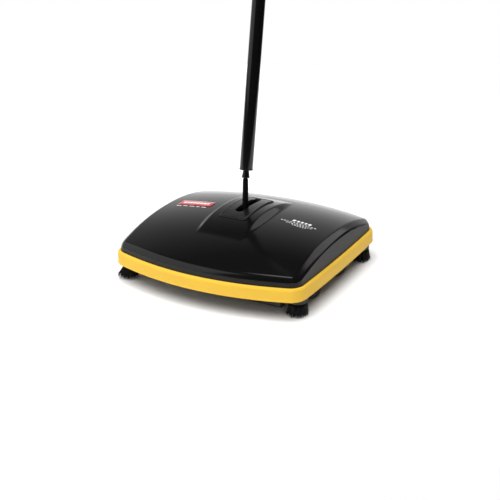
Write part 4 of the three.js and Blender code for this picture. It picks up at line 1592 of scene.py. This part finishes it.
def outward(node: str, x: int) -> Sequence[float]:
    """Where a CAD node starts and ends, measured outwards from the head's middle plane."""
    low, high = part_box(node)
    return sorted((x * low.x, x * high.x))


@dataclass
class Chassis:
    """The plate, end plates, bridge and pivot inside the head."""

    rounding: float = 0.35 * MM
    leaf_rounding: float = 0.15 * MM
    pin_shank: float = 3 * MM
    pin_head: float = 1.5 * MM
    rivet_radius: float = 2.6 * MM
    rivet_height: float = 1.1 * MM
    rivet_inset: float = 5 * MM
    rivets_along: Point = (81 * MM, 90 * MM)

    def build(self, shop: Workshop, rivets: GeometryTree) -> None:
        """Makes the fixed inner pieces.

        Args:
            shop: The workshop.
            rivets: The rivet tree.
        """
        zinc = Finishes.ZINC_STEEL
        shop.softened("chassis", "housing", Finishes.MATTE_BLACK, self.rounding)
        for node in ("end_plate_left", "end_plate_right", "bridge", "pivot_bracket"):
            shop.softened(node, "housing", zinc, self.rounding)
        shop.softened("detent_spring", "housing", Finishes.SPRING_STEEL, self.leaf_rounding)
        size, shank = half_of("pivot_pin"), self.pin_shank
        head, half, neck = size.z, size.x, size.x - self.pin_head
        shop.turned("pivot_rivet", [
            (0, -half), (head, -half), (head, -neck), (shank, -neck), (shank, neck),
            (head, neck), (head, half), (0, half)],
            (middle_of("pivot_pin"), ALONG_X), "housing", zinc, "pivot_pin", 32)
        self.rivet_feet(shop, rivets)

    def rivet_feet(self, shop: Workshop, rivets: GeometryTree) -> None:
        """Rivets the end plates' feet to the chassis, seen on its underside.

        Args:
            shop: The workshop.
            rivets: The rivet tree.
        """
        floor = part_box("chassis")[0].z
        points = [(x * (outward(f"end_plate_{side}", x)[1] - self.rivet_inset),
                   HEAD_Y + y * along, floor)
                  for side, x in SIDES for _, y in ENDS for along in self.rivets_along]
        mesh = rivets.run("foot_rivets", Finishes.ZINC_STEEL, new_mesh("rivet_places", points),
                          Radius=self.rivet_radius, Height=self.rivet_height,
                          Direction=(0, 0, -1))
        mesh.shade_smooth()
        shop.piece("foot_rivets", mesh, "housing", Finishes.ZINC_STEEL)


@dataclass
class Wheels:
    """The four wheels, each a hub with a tyre that turns on its own axle."""

    tread_radius: float = 28 * MM
    hub_radius: float = 23.7 * MM
    tyre_inner: float = 24 * MM
    half_width: float = 5.5 * MM
    bore: float = 4.3 * MM
    tread_edge: float = 0.7 * MM
    axle_radius: float = 4 * MM
    axle_head: float = 6 * MM
    axle_play: float = 0.5 * MM
    axle_edge: float = 0.3 * MM
    plate_face: float = 121.3 * MM
    grooves: float = 40

    def build(self, shop: Workshop, tread: GeometryTree) -> None:
        """Makes wheels, tyres and axles.

        Args:
            shop: The workshop.
            tread: The tread tree.
        """
        for name, x, _ in CORNERS:
            middle = middle_of(f"tyre_{name}")
            line, body = (middle, Vector((x, 0, 0))), f"{name}_wheel"
            shop.turned(f"hub_{name}", self.hub_profile(), line, body, Finishes.WHEEL_GREY,
                        f"wheel_{name}", 72)
            tyre = turned_mesh(f"tread_{name}", self.tyre_profile(), *line, 240, self.tread_edge)
            tyre = tread.run(f"tread_{name}", Finishes.TYRE_RUBBER, tyre, Middle=middle,
                             Grooves=self.grooves, Tread_Radius=self.tread_radius)
            shop.piece(f"tread_{name}", settled(tyre), body, Finishes.TYRE_RUBBER, f"tyre_{name}")
            self.axle(shop, name, x, middle)

    def hub_profile(self) -> list[Point]:
        """The hub's section: a boss, a dished web with a bead, and a rim.

        Returns:
            Points (radius, distance along the axis).
        """
        half, rim = self.half_width, self.hub_radius
        return [(self.bore, -half), (8.4 * MM, -half), (9.2 * MM, -half + 1.8 * MM),
                (rim - 5 * MM, -half + 1.8 * MM), (rim - 3.6 * MM, -half), (rim, -half),
                (rim, half), (rim - 2.2 * MM, half), (rim - 3.8 * MM, 2.6 * MM),
                (15.5 * MM, 2.4 * MM), (14.8 * MM, 3.2 * MM), (13.6 * MM, 3.2 * MM),
                (12.9 * MM, 2.4 * MM), (9.6 * MM, 2.6 * MM), (8.4 * MM, half), (self.bore, half)]

    def tyre_profile(self) -> list[Point]:
        """The tyre's section, with a shallow crown across the tread.

        Returns:
            Points (radius, distance along the axis).
        """
        half, inner, outer = self.half_width, self.tyre_inner, self.tread_radius
        side, shoulder = outer - 1.1 * MM, outer - 0.12 * MM
        return [(inner, -half), (side, -half), (shoulder, -0.72 * half), (outer, -0.3 * half),
                (outer, 0.3 * half), (shoulder, 0.72 * half), (side, half), (inner, half)]

    def axle(self, shop: Workshop, name: str, x: int, middle: Vector) -> None:
        """A wheel's axle: a shouldered pin riveted in the end plate, with a pressed cap.

        Args:
            shop: The workshop.
            name: The wheel's corner.
            x: Its side, -1 or 1.
            middle: The wheel's middle.
        """
        start, end = outward(f"wheel_axle_{name}", x)
        plate, wheel, reach = self.plate_face, abs(middle.x), self.half_width + self.axle_play
        inner, outer, radius, head = wheel - reach, wheel + reach, self.axle_radius, self.axle_head
        rivet, dimple = start + 1.5 * MM, end - 0.7 * MM
        shop.turned(f"axle_{name}", [
            (0, start), (5 * MM, start), (5 * MM, rivet), (radius, rivet), (radius, plate),
            (head, plate), (head, inner), (radius, inner), (radius, outer), (head, outer),
            (head, end), (2 * MM, end), (1.6 * MM, dimple), (0, dimple)],
            (Vector((0, middle.y, middle.z)), Vector((x, 0, 0))), "housing",
            Finishes.ZINC_STEEL, f"wheel_axle_{name}", 40, self.axle_edge)


@dataclass
class Roller:
    """The bristle roller, its drive drums and its bearings."""

    shaft_radius: float = 3 * MM
    shaft_neck: float = 2.5 * MM
    core_radius: float = 13 * MM
    drum_radius: float = 14.06 * MM
    drum_grooves: int = 6
    bore: float = 3.3 * MM
    bristle_radius: float = 27.3 * MM
    bristle_end: float = 6 * MM
    tuft_radius: float = 2.2 * MM
    strand: float = 0.22 * MM
    splay: float = 0.13
    rows: int = 4
    twist: float = math.pi / 3
    tufts: int = 62
    strands: int = 22
    first_seed: int = 20

    def build(self, shop: Workshop, rows: GeometryTree) -> None:
        """Makes the roller.

        Args:
            shop: The workshop.
            rows: The bristle-row tree.
        """
        middle, radius = middle_of("roller_core"), self.shaft_radius
        line, half = (middle, ALONG_X), half_of("roller_shaft").x
        groove = half - 2.2 * MM
        shop.turned("roller_rod", [
            (0, -half), (radius, -half), (radius, groove), (self.shaft_neck, groove + 0.3 * MM),
            (self.shaft_neck, groove + 1.1 * MM), (radius, groove + 1.4 * MM), (radius, half),
            (0, half)], line, "roller", Finishes.ZINC_STEEL, "roller_shaft", 32)
        half, radius = half_of("roller_core").x, self.core_radius
        dish, lip = half - 2 * MM, radius - 1 * MM
        shop.turned("roller_barrel", [
            (self.bore, -half), (9 * MM, -half), (10 * MM, -dish), (lip, -dish), (radius, -half),
            (radius, half), (lip, dish), (10 * MM, dish), (9 * MM, half), (self.bore, half)],
            line, "roller", Finishes.SATIN_BLACK, "roller_core", 72)
        for side, x in SIDES:
            self.drum(shop, side)
            self.bearing(shop, side, x)
        strips = [rows.run(
            f"row_{row}", Finishes.BRISTLE_BLACK, Tufts=self.tufts, Strands=self.strands,
            Seed=self.first_seed + row, Middle=middle, Start=2 * math.pi * row / self.rows,
            Twist=self.twist, Half_Length=half - self.bristle_end, Root_Radius=self.core_radius,
            Tip_Radius=self.bristle_radius, Tuft_Radius=self.tuft_radius, Splay=self.splay,
            Thickness=self.strand) for row in range(self.rows)]
        nodes = [f"bristle_row_{row + 1}" for row in range(self.rows)]
        shop.piece("roller_bristles", merged("roller_bristles", strips), "roller",
                   Finishes.BRISTLE_BLACK, *nodes)

    def drum(self, shop: Workshop, side: str) -> None:
        """A rubber drum with fine grooves, which the wheels rub on.

        Args:
            shop: The workshop.
            side: The drum's side.
        """
        node = f"drive_drum_{side}"
        half, radius, count = half_of(node).x, self.drum_radius, self.drum_grooves
        profile = [(self.bore, -half), (radius - 0.4 * MM, -half)]
        for k in range(count):
            here = -half + (k + 0.5) * 2 * half / count
            profile += [(radius, here - 0.55 * MM), (radius, here + 0.2 * MM),
                        (radius - 0.5 * MM, here + 0.55 * MM)]
        profile += [(radius - 0.4 * MM, half), (self.bore, half)]
        shop.turned(f"drum_{side}", profile, (middle_of(node), ALONG_X), "roller",
                    Finishes.TYRE_RUBBER, node, 64, 0.15 * MM)

    def bearing(self, shop: Workshop, side: str, x: int) -> None:
        """A flanged bush in the end plate.

        Args:
            shop: The workshop.
            side: The bush's side.
            x: The same as a number, -1 or 1.
        """
        node = f"roller_bearing_{side}"
        middle, (start, end) = middle_of(node), outward(node, x)
        flange = start + 1.5 * MM
        shop.turned(f"bush_{side}", [
            (self.bore, start), (8 * MM, start), (8 * MM, flange), (6 * MM, flange),
            (6 * MM, end), (self.bore, end)],
            (Vector((0, middle.y, middle.z)), Vector((x, 0, 0))), "housing", Finishes.BRASS,
            node, 40, 0.3 * MM)


@dataclass
class CornerBrushes:
    """The brush at each corner, which sweeps dirt from a room's edge under the head."""

    hub_radius: float = 13 * MM
    hub_height: float = 8 * MM
    inner_radius: float = 5.2 * MM
    outer_radius: float = 12.3 * MM
    tip_height: float = 2.3 * MM
    count: int = 620
    thickness: float = 0.34 * MM
    splay: float = 0.1
    scatter: float = 0.045
    bend: float = 0.8 * MM
    first_seed: int = 3
    leans: tuple[Triple, ...] = ((-0.34, -0.14, 0), (-0.05, 0.02, 0), (-0.05, 0.05, 0),
                                 (-0.03, 0.02, 0))
    screw_shank: float = 3.6 * MM
    screw_thread: float = 2.2 * MM
    thread_pitch: float = 0.8 * MM
    screw_socket: Point = (2.5 * MM, 1.8 * MM)

    def build(self, shop: Workshop, ring: GeometryTree) -> None:
        """Makes hubs, bristles and screws.

        Args:
            shop: The workshop.
            ring: The bristle-ring tree.
        """
        radius = self.hub_radius
        bore, neck = self.screw_shank + 0.3 * MM, self.screw_shank + 2.5 * MM
        for number, (name, _, _) in enumerate(CORNERS):
            body, (low, high) = f"{name}_brush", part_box(f"brush_hub_{name}")
            middle = (low + high) / 2
            bottom, shoulder = low.z, low.z + self.hub_height
            shop.turned(f"brush_block_{name}", [
                (bore, bottom), (radius - 0.6 * MM, bottom), (radius, bottom + 1.2 * MM),
                (radius, shoulder - 2.6 * MM), (radius - 3 * MM, shoulder), (neck, shoulder),
                (neck, high.z), (bore, high.z)],
                (Vector((middle.x, middle.y, 0)), ALONG_Z), body, Finishes.MATTE_BLACK,
                f"brush_hub_{name}")
            tufts = ring.run(
                f"brush_tufts_{name}", Finishes.BRISTLE_BLACK, Count=self.count,
                Seed=number + self.first_seed, Middle=(middle.x, middle.y, bottom),
                Lean=self.leans[number], Inner_Radius=self.inner_radius,
                Outer_Radius=self.outer_radius, Length=bottom - self.tip_height,
                Splay=self.splay, Scatter=self.scatter, Bend=self.bend,
                Thickness=self.thickness)
            tufts.shade_smooth()
            shop.piece(f"brush_tufts_{name}", tufts, body, Finishes.BRISTLE_BLACK,
                       f"brush_bristles_{name}")
            self.screw(shop, name, high.z)

    def screw(self, shop: Workshop, name: str, shoulder: float) -> None:
        """The shouldered screw that a brush turns on, with a socket in its head.

        Args:
            shop: The workshop.
            name: The brush's corner.
            shoulder: Height of the hub's top, where the thread starts.
        """
        low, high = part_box(f"corner_screw_{name}")
        head, foot, shank, thread = (high.x - low.x) / 2, low.z, self.screw_shank, self.screw_thread
        socket, depth = self.screw_socket
        profile = [(0, foot + depth), (socket, foot + depth), (socket, foot),
                   (head - 1 * MM, foot), (head, foot + 1 * MM), (head, foot + 3 * MM),
                   (shank, foot + 3 * MM), (shank, shoulder), (thread, shoulder)]
        pitch, here = self.thread_pitch, shoulder + self.thread_pitch
        while here < high.z - pitch:
            profile += [(thread, here), (thread - 0.35 * MM, here + pitch / 2)]
            here += pitch
        profile += [(thread - 0.5 * MM, high.z), (0, high.z)]
        middle = Vector(((low.x + high.x) / 2, (low.y + high.y) / 2, 0))
        shop.turned(f"screw_{name}", profile, (middle, ALONG_Z), "housing",
                    Finishes.ZINC_STEEL, f"corner_screw_{name}", 36, 0.15 * MM)


@dataclass
class DustPans:
    """The two pans that hang on rods at the front and the back and swing down to empty."""

    rounding: float = 0.4 * MM
    rod_radius: float = 2 * MM
    rod_edge: float = 0.5 * MM
    coil_radius: float = 2.9 * MM
    coil_pitch: float = 2.16 * MM
    coil_turns: float = 3.0
    wire: float = 0.6 * MM
    ribs: int = 9
    rib_size: Triple = (1.6 * MM, 52 * MM, 0.8 * MM)
    rib_span: float = 0.86
    rib_shift: Point = (2 * MM, 0.25 * MM)

    def build(self, shop: Workshop, coil: GeometryTree, ribs: GeometryTree) -> None:
        """Makes pans, rods and springs.

        Args:
            shop: The workshop.
            coil: The spring tree.
            ribs: The rib tree.
        """
        for end, y in ENDS:
            body, black = f"{end}_dust_pan", Finishes.PAN_BLACK
            shop.softened(f"{end}_pan", body, black, self.rounding)
            low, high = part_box(f"{end}_pan")
            inward, down = self.rib_shift
            place = (0.0, ((low + high) / 2).y - y * inward, low.z - down)
            strip = ribs.run(f"{end}_pan_ribs", black, Middle=place, Count=self.ribs,
                             Length=(high.x - low.x) * self.rib_span, Size=self.rib_size)
            shop.piece(f"{end}_pan_ribs", settled(strip), body, black)
            rod, spring = f"{end}_pan_rod", f"{end}_pan_spring"
            half, radius = half_of(rod).x, self.rod_radius
            shop.turned(f"{end}_hinge_rod", [
                (0, -half), (radius, -half), (radius, half), (0, half)],
                (middle_of(rod), ALONG_X), "housing", Finishes.ZINC_STEEL, rod, 32,
                self.rod_edge)
            wound = coil.run(f"{end}_hinge_coil", Finishes.SPRING_STEEL,
                             Middle=middle_of(spring), Turns=self.coil_turns,
                             Radius=self.coil_radius, Pitch=self.coil_pitch, Wire=self.wire)
            shop.piece(f"{end}_hinge_coil", settled(wound), frame["nodes"][spring]["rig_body"],
                       Finishes.SPRING_STEEL, spring)


# ------------------------------------------------------------------ handle


@dataclass
class Handle:
    """The stem, the collar, three lengths of tube and the grip, all on one leaning line."""

    stem_lean: float = math.radians(3)
    tube_lean: float = math.radians(10.7)
    stem_length: float = 71.3 * MM
    hub_radius: float = 7 * MM
    hub_half: float = 6.4 * MM
    pin_bore: float = 3.3 * MM
    stem_foot: float = 4.9 * MM
    stem_top: float = 3.8 * MM
    spigot: float = 3 * MM
    clearance: float = 0.3 * MM
    tube_radius: float = 9.5 * MM
    tube_wall: float = 1 * MM
    tube_start: float = 14 * MM
    rim_radius: float = 9.9 * MM
    length: float = 1118 * MM
    spigot_length: float = 45 * MM
    grip_radius: float = 12.5 * MM
    grip_length: float = 150 * MM
    grip_solid: float = 42 * MM
    rib_step: float = 6 * MM
    hang_hole: float = 6 * MM

    def build(self, shop: Workshop) -> None:
        """Makes the handle from its foot to its grip.

        Args:
            shop: The workshop.
        """
        pivot = middle_of("pivot_pin")
        stem_way, tube_way = (Vector((0, math.sin(lean), math.cos(lean)))
                              for lean in (self.stem_lean, self.tube_lean))
        line = (pivot + stem_way * self.stem_length, tube_way)
        hub = turned_mesh("hub", [
            (self.pin_bore, -self.hub_half), (self.hub_radius, -self.hub_half),
            (self.hub_radius, self.hub_half), (self.pin_bore, self.hub_half)],
            pivot, ALONG_X, 48, 0.8 * MM)
        top = self.stem_length - 1 * MM
        shank = turned_mesh("shank", [
            (0, 5 * MM), (self.stem_foot, 5 * MM), (self.stem_foot, 12 * MM),
            (self.stem_top, top), (0, top)], pivot, stem_way, 48, 0.9 * MM)
        knob = turned_mesh("spigot", [
            (0, -3 * MM), (self.spigot, -3 * MM), (self.spigot, 30 * MM), (0, 30 * MM)],
            *line, 40)
        shop.piece("stem_rod", merged("stem_rod", [hub, shank, knob]), "handle",
                   Finishes.BLACKED_STEEL, "stem")
        bore, black = self.spigot + self.clearance, Finishes.SATIN_BLACK
        shop.turned("bend_collar", [
            (bore, 0.9 * MM), (5.65 * MM, 0.9 * MM), (5.65 * MM, 2.9 * MM), (5.0 * MM, 6 * MM),
            (4.4 * MM, 10.8 * MM), (bore, 10.8 * MM)],
            line, "handle", black, "stem_collar", 48, 0.7 * MM)
        start, inner = self.tube_start, self.tube_radius - self.tube_wall - self.clearance
        foot, rim, deep = 11.1 * MM, start - 1.2 * MM, start + 20 * MM
        shop.turned("tube_foot_plug", [
            (bore, foot), (4.1 * MM, foot), (4.1 * MM, rim), (self.rim_radius, rim),
            (self.rim_radius, start), (inner, start), (inner, deep), (bore, deep)],
            line, "handle", black, "tube_plug", 56, 0.35 * MM)
        self.tubes(shop, line)
        self.grip(shop, line)

    def tube_top(self) -> float:
        """Where the uppermost tube ends, along the tube's line."""
        return self.length - self.stem_length - self.grip_solid

    def tubes(self, shop: Workshop, line: tuple[Vector, Vector]) -> None:
        """Three lengths of tube; each but the lowest narrows to sit in the one below.

        Args:
            shop: The workshop.
            line: The point under the collar where the tube's line starts, and its direction.
        """
        gap, radius, wall = self.clearance, self.tube_radius, self.tube_wall
        first, inner = self.tube_start + gap, radius - wall
        share = (self.tube_top() - first) / 3
        narrow, narrow_bore = inner - gap, inner - gap - wall
        for i, name in enumerate(("lower", "middle", "upper")):
            start = first + i * share + (gap if i else 0)
            end, foot = first + (i + 1) * share, start - self.spigot_length
            rolled = [(radius, end - 1.2 * MM), (radius - 0.2 * MM, end), (inner, end)]
            profile = [(inner, start), (radius, start), *rolled]
            if i:
                profile = [(narrow_bore, foot), (narrow, foot), (narrow, start),
                           (radius - 0.5 * MM, start), (radius, start + 1.2 * MM), *rolled,
                           (inner, start + 2 * MM), (narrow_bore, start)]
            shop.turned(f"tube_{name}", profile, line, "handle", Finishes.ENAMEL_BLACK,
                        f"handle_tube_{name}", 72, 0.25 * MM)

    def grip(self, shop: Workshop, line: tuple[Vector, Vector]) -> None:
        """The ribbed grip, closed at its top and pierced to hang on a hook.

        Args:
            shop: The workshop.
            line: The point under the collar where the tube's line starts, and its direction.
        """
        top, radius, step = self.tube_top() + self.grip_solid, self.grip_radius, self.rib_step
        foot, bore, groove = top - self.grip_length, self.tube_radius + self.clearance, 1.1 * MM
        profile = [(bore, foot), (radius - 0.8 * MM, foot), (radius, foot + 2 * MM),
                   (radius, foot + 8 * MM)]
        here = foot + 9 * MM
        while here < top - self.grip_solid - step:
            profile += [(radius - groove, here), (radius - groove, here + 1.6 * MM),
                        (radius, here + 2.4 * MM), (radius, here + step - 0.8 * MM)]
            here += step
        crown = self.tube_top() + self.clearance
        profile += [(radius, top - 8 * MM), (0.93 * radius, top - 4 * MM),
                    (0.74 * radius, top - 1.2 * MM), (0.4 * radius, top), (0, top), (0, crown),
                    (bore, crown)]
        sleeve = turned_mesh("sleeve", profile, *line, 64, 0.5 * MM)
        eye = line[0] + line[1] * (top - self.grip_solid / 2)
        hole, reach = self.hang_hole, 2 * radius
        pin = turned_mesh("hang_cut", [(0, -reach), (hole, -reach), (hole, reach), (0, reach)],
                          eye, ALONG_X, 48, 0)
        shop.piece("grip_sleeve", self.cut(sleeve, pin), "handle", Finishes.GRIP_FOAM, "grip")

    def cut(self, mesh: bpy.types.Mesh, tool: bpy.types.Mesh) -> bpy.types.Mesh:
        """Cuts one mesh out of another.

        Args:
            mesh: The mesh that stays.
            tool: The mesh that is taken away.

        Returns:
            What is left.
        """
        holder = linked("cut", tool)
        left = modified(mesh, "BOOLEAN", {
            "operation": "DIFFERENCE", "solver": "EXACT", "object": holder})
        bpy.data.objects.remove(holder)
        return settled(left)


# ------------------------------------------------------------------ studio


@dataclass(frozen=True)
class Softbox:
    """An area light that looks at the head."""

    name: str
    place: Triple
    size: Point
    power: float
    mirrored: bool = True


@dataclass
class Studio:
    """Floor, light and camera."""

    azimuth: float = math.radians(29.6946618)
    elevation: float = math.radians(23.09410854)
    roll: float = math.radians(-1.06070855)
    distance: float = 1.57751
    lens: float = 76.32
    offset: Point = (-3.31 * MM, 0.65 * MM)
    target_height: float = 29 * MM
    aim_height: float = 60 * MM
    floor_radius: float = 0.98
    floor_middle: Point = (-0.33, 0.2)
    floor_sides: int = 96
    floor_tone: float = 0.95
    wall_height: Point = (0.05, 0.84)
    wall_turn: float = math.radians(35)
    wall_reach: Point = (0.45, 0.95)
    room_strength: float = 0.03
    sun_strength: float = 3.4
    sun_spread: float = math.radians(60)
    sun_lean: Triple = (0.06, -0.3, 1.0)
    boxes: tuple[Softbox, ...] = (
        Softbox("front_fill", (1.4, -2.2, 1.3), (2.2, 1.4), 6.0, False),
        Softbox("right_panel", (1.08, 2.03, 1.67), (1.3, 1.5), 7.0),
        Softbox("left_wall", (-1.31, -0.92, 0.85), (2.6, 1.7), 12.0),
        Softbox("overhead", (-0.05, -0.25, 2.2), (0.8, 0.6), 4.5),
    )

    def build(self) -> None:
        """Sets up the whole studio."""
        self.camera()
        self.floor()
        self.world()
        self.sun()
        for box in self.boxes:
            self.light(box)
        bpy.context.scene.view_settings.view_transform = "Standard"

    def camera(self) -> None:
        """A long lens that looks down on the head from its front right."""
        a, e = self.azimuth, self.elevation
        back = Vector((math.sin(a) * math.cos(e), -math.cos(a) * math.cos(e), math.sin(e)))
        right = (-back).cross(ALONG_Z).normalized()
        up = back.cross(right)
        across = right * math.cos(self.roll) + up * math.sin(self.roll)
        above = up * math.cos(self.roll) - right * math.sin(self.roll)
        place = (Vector((0, HEAD_Y, self.target_height)) + back * self.distance
                 - across * self.offset[0] + above * self.offset[1])
        data = bpy.data.cameras.new("camera")
        data.lens, data.sensor_width = self.lens, 36.0
        data.clip_start, data.clip_end = 0.05, 200.0
        thing = linked("camera", data)
        turn = Matrix((across, above, back)).transposed()
        thing.matrix_world = Matrix.Translation(place) @ turn.to_4x4()
        bpy.context.scene.camera = thing

    def floor(self) -> None:
        """A plain white floor, seen from above only."""
        turns = [2 * math.pi * k / self.floor_sides for k in range(self.floor_sides)]
        (x, y), radius = self.floor_middle, self.floor_radius
        rim = [(x + radius * math.cos(turn), y + radius * math.sin(turn), 0) for turn in turns]
        mesh = new_mesh("floor", rim, [tuple(range(self.floor_sides))])
        material = bpy.data.materials.new("studio_floor")
        material.use_nodes = True
        made, nodes = Tree(material.node_tree), material.node_tree.nodes
        shader = fill(nodes["Principled BSDF"], {
            "Base Color": (*grey(self.floor_tone), 1), "Roughness": 0.9,
            "Specular IOR Level": 0.1})
        both = made.term("ShaderNodeMixShader", {
            0: made.term("ShaderNodeNewGeometry", output="Backfacing"),
            1: Term(shader.outputs[0]), 2: made.term("ShaderNodeBsdfTransparent")})
        fill(nodes["Material Output"], {"Surface": both})
        mesh.materials.append(material)
        linked("floor", mesh)

    def world(self) -> None:
        """A dark room with a white wall behind, which the gloss mirrors, and a white backdrop."""
        world = bpy.data.worlds.new("room")
        bpy.context.scene.world = world
        world.use_nodes = True
        made = Tree(world.node_tree)
        way = made.term("ShaderNodeTexCoord", output="Generated")
        low = made.ranged(made.parts(way)[2], *self.wall_height, 1.0, 0.0)
        behind = (-math.sin(self.wall_turn), math.cos(self.wall_turn), 0.0)
        level = made.vectors("MULTIPLY", way, (1, 1, 0))
        level = made.term("ShaderNodeVectorMath", {0: level}, operation="NORMALIZE")
        facing = made.vectors("DOT_PRODUCT", level, behind, 1)
        wall = low * made.ranged(facing, *self.wall_reach, kind="SMOOTHSTEP")
        room = math_term("MAXIMUM", wall, self.room_strength)
        seen = made.term("ShaderNodeLightPath", output="Is Camera Ray")
        fill(world.node_tree.nodes["Background"], {
            "Strength": math_term("MAXIMUM", room, seen), "Color": (1, 1, 1, 1)})

    def sun(self) -> None:
        """An even, very soft light over the whole floor, which the gloss doesn't mirror."""
        data = bpy.data.lights.new("sky_panel", "SUN")
        data.energy, data.angle = self.sun_strength, self.sun_spread
        thing = linked("sky_panel", data)
        thing.rotation_euler = Vector(self.sun_lean).to_track_quat("Z", "Y").to_euler()
        thing.visible_glossy = False

    def light(self, box: Softbox) -> None:
        """Adds one softbox.

        Args:
            box: The softbox.
        """
        data = bpy.data.lights.new(box.name, "AREA")
        data.shape = "RECTANGLE"
        data.size, data.size_y = box.size
        data.energy = box.power
        thing = linked(box.name, data)
        thing.location = box.place
        aim = Vector((0, HEAD_Y, self.aim_height)) - Vector(box.place)
        thing.rotation_euler = aim.to_track_quat("-Z", "Y").to_euler()
        thing.visible_glossy = box.mirrored
        thing.visible_camera = False


# ------------------------------------------------------------------ everything together


def main() -> None:
    """Builds the studio and every sub-assembly in order."""
    logging.basicConfig(level=logging.INFO, format="%(message)s")
    Studio().build()
    shop = Workshop()
    head = Head()
    head.build(shop, head.rule.tree())
    Chassis().build(shop, rivet_tree())
    Wheels().build(shop, tread_tree())
    Roller().build(shop, bristle_row_tree())
    CornerBrushes().build(shop, bristle_ring_tree())
    DustPans().build(shop, coil_tree(), rib_tree())
    Handle().build(shop)
    log.info("%d pieces made", len(shop.made))


if __name__ == "__main__":
    main()
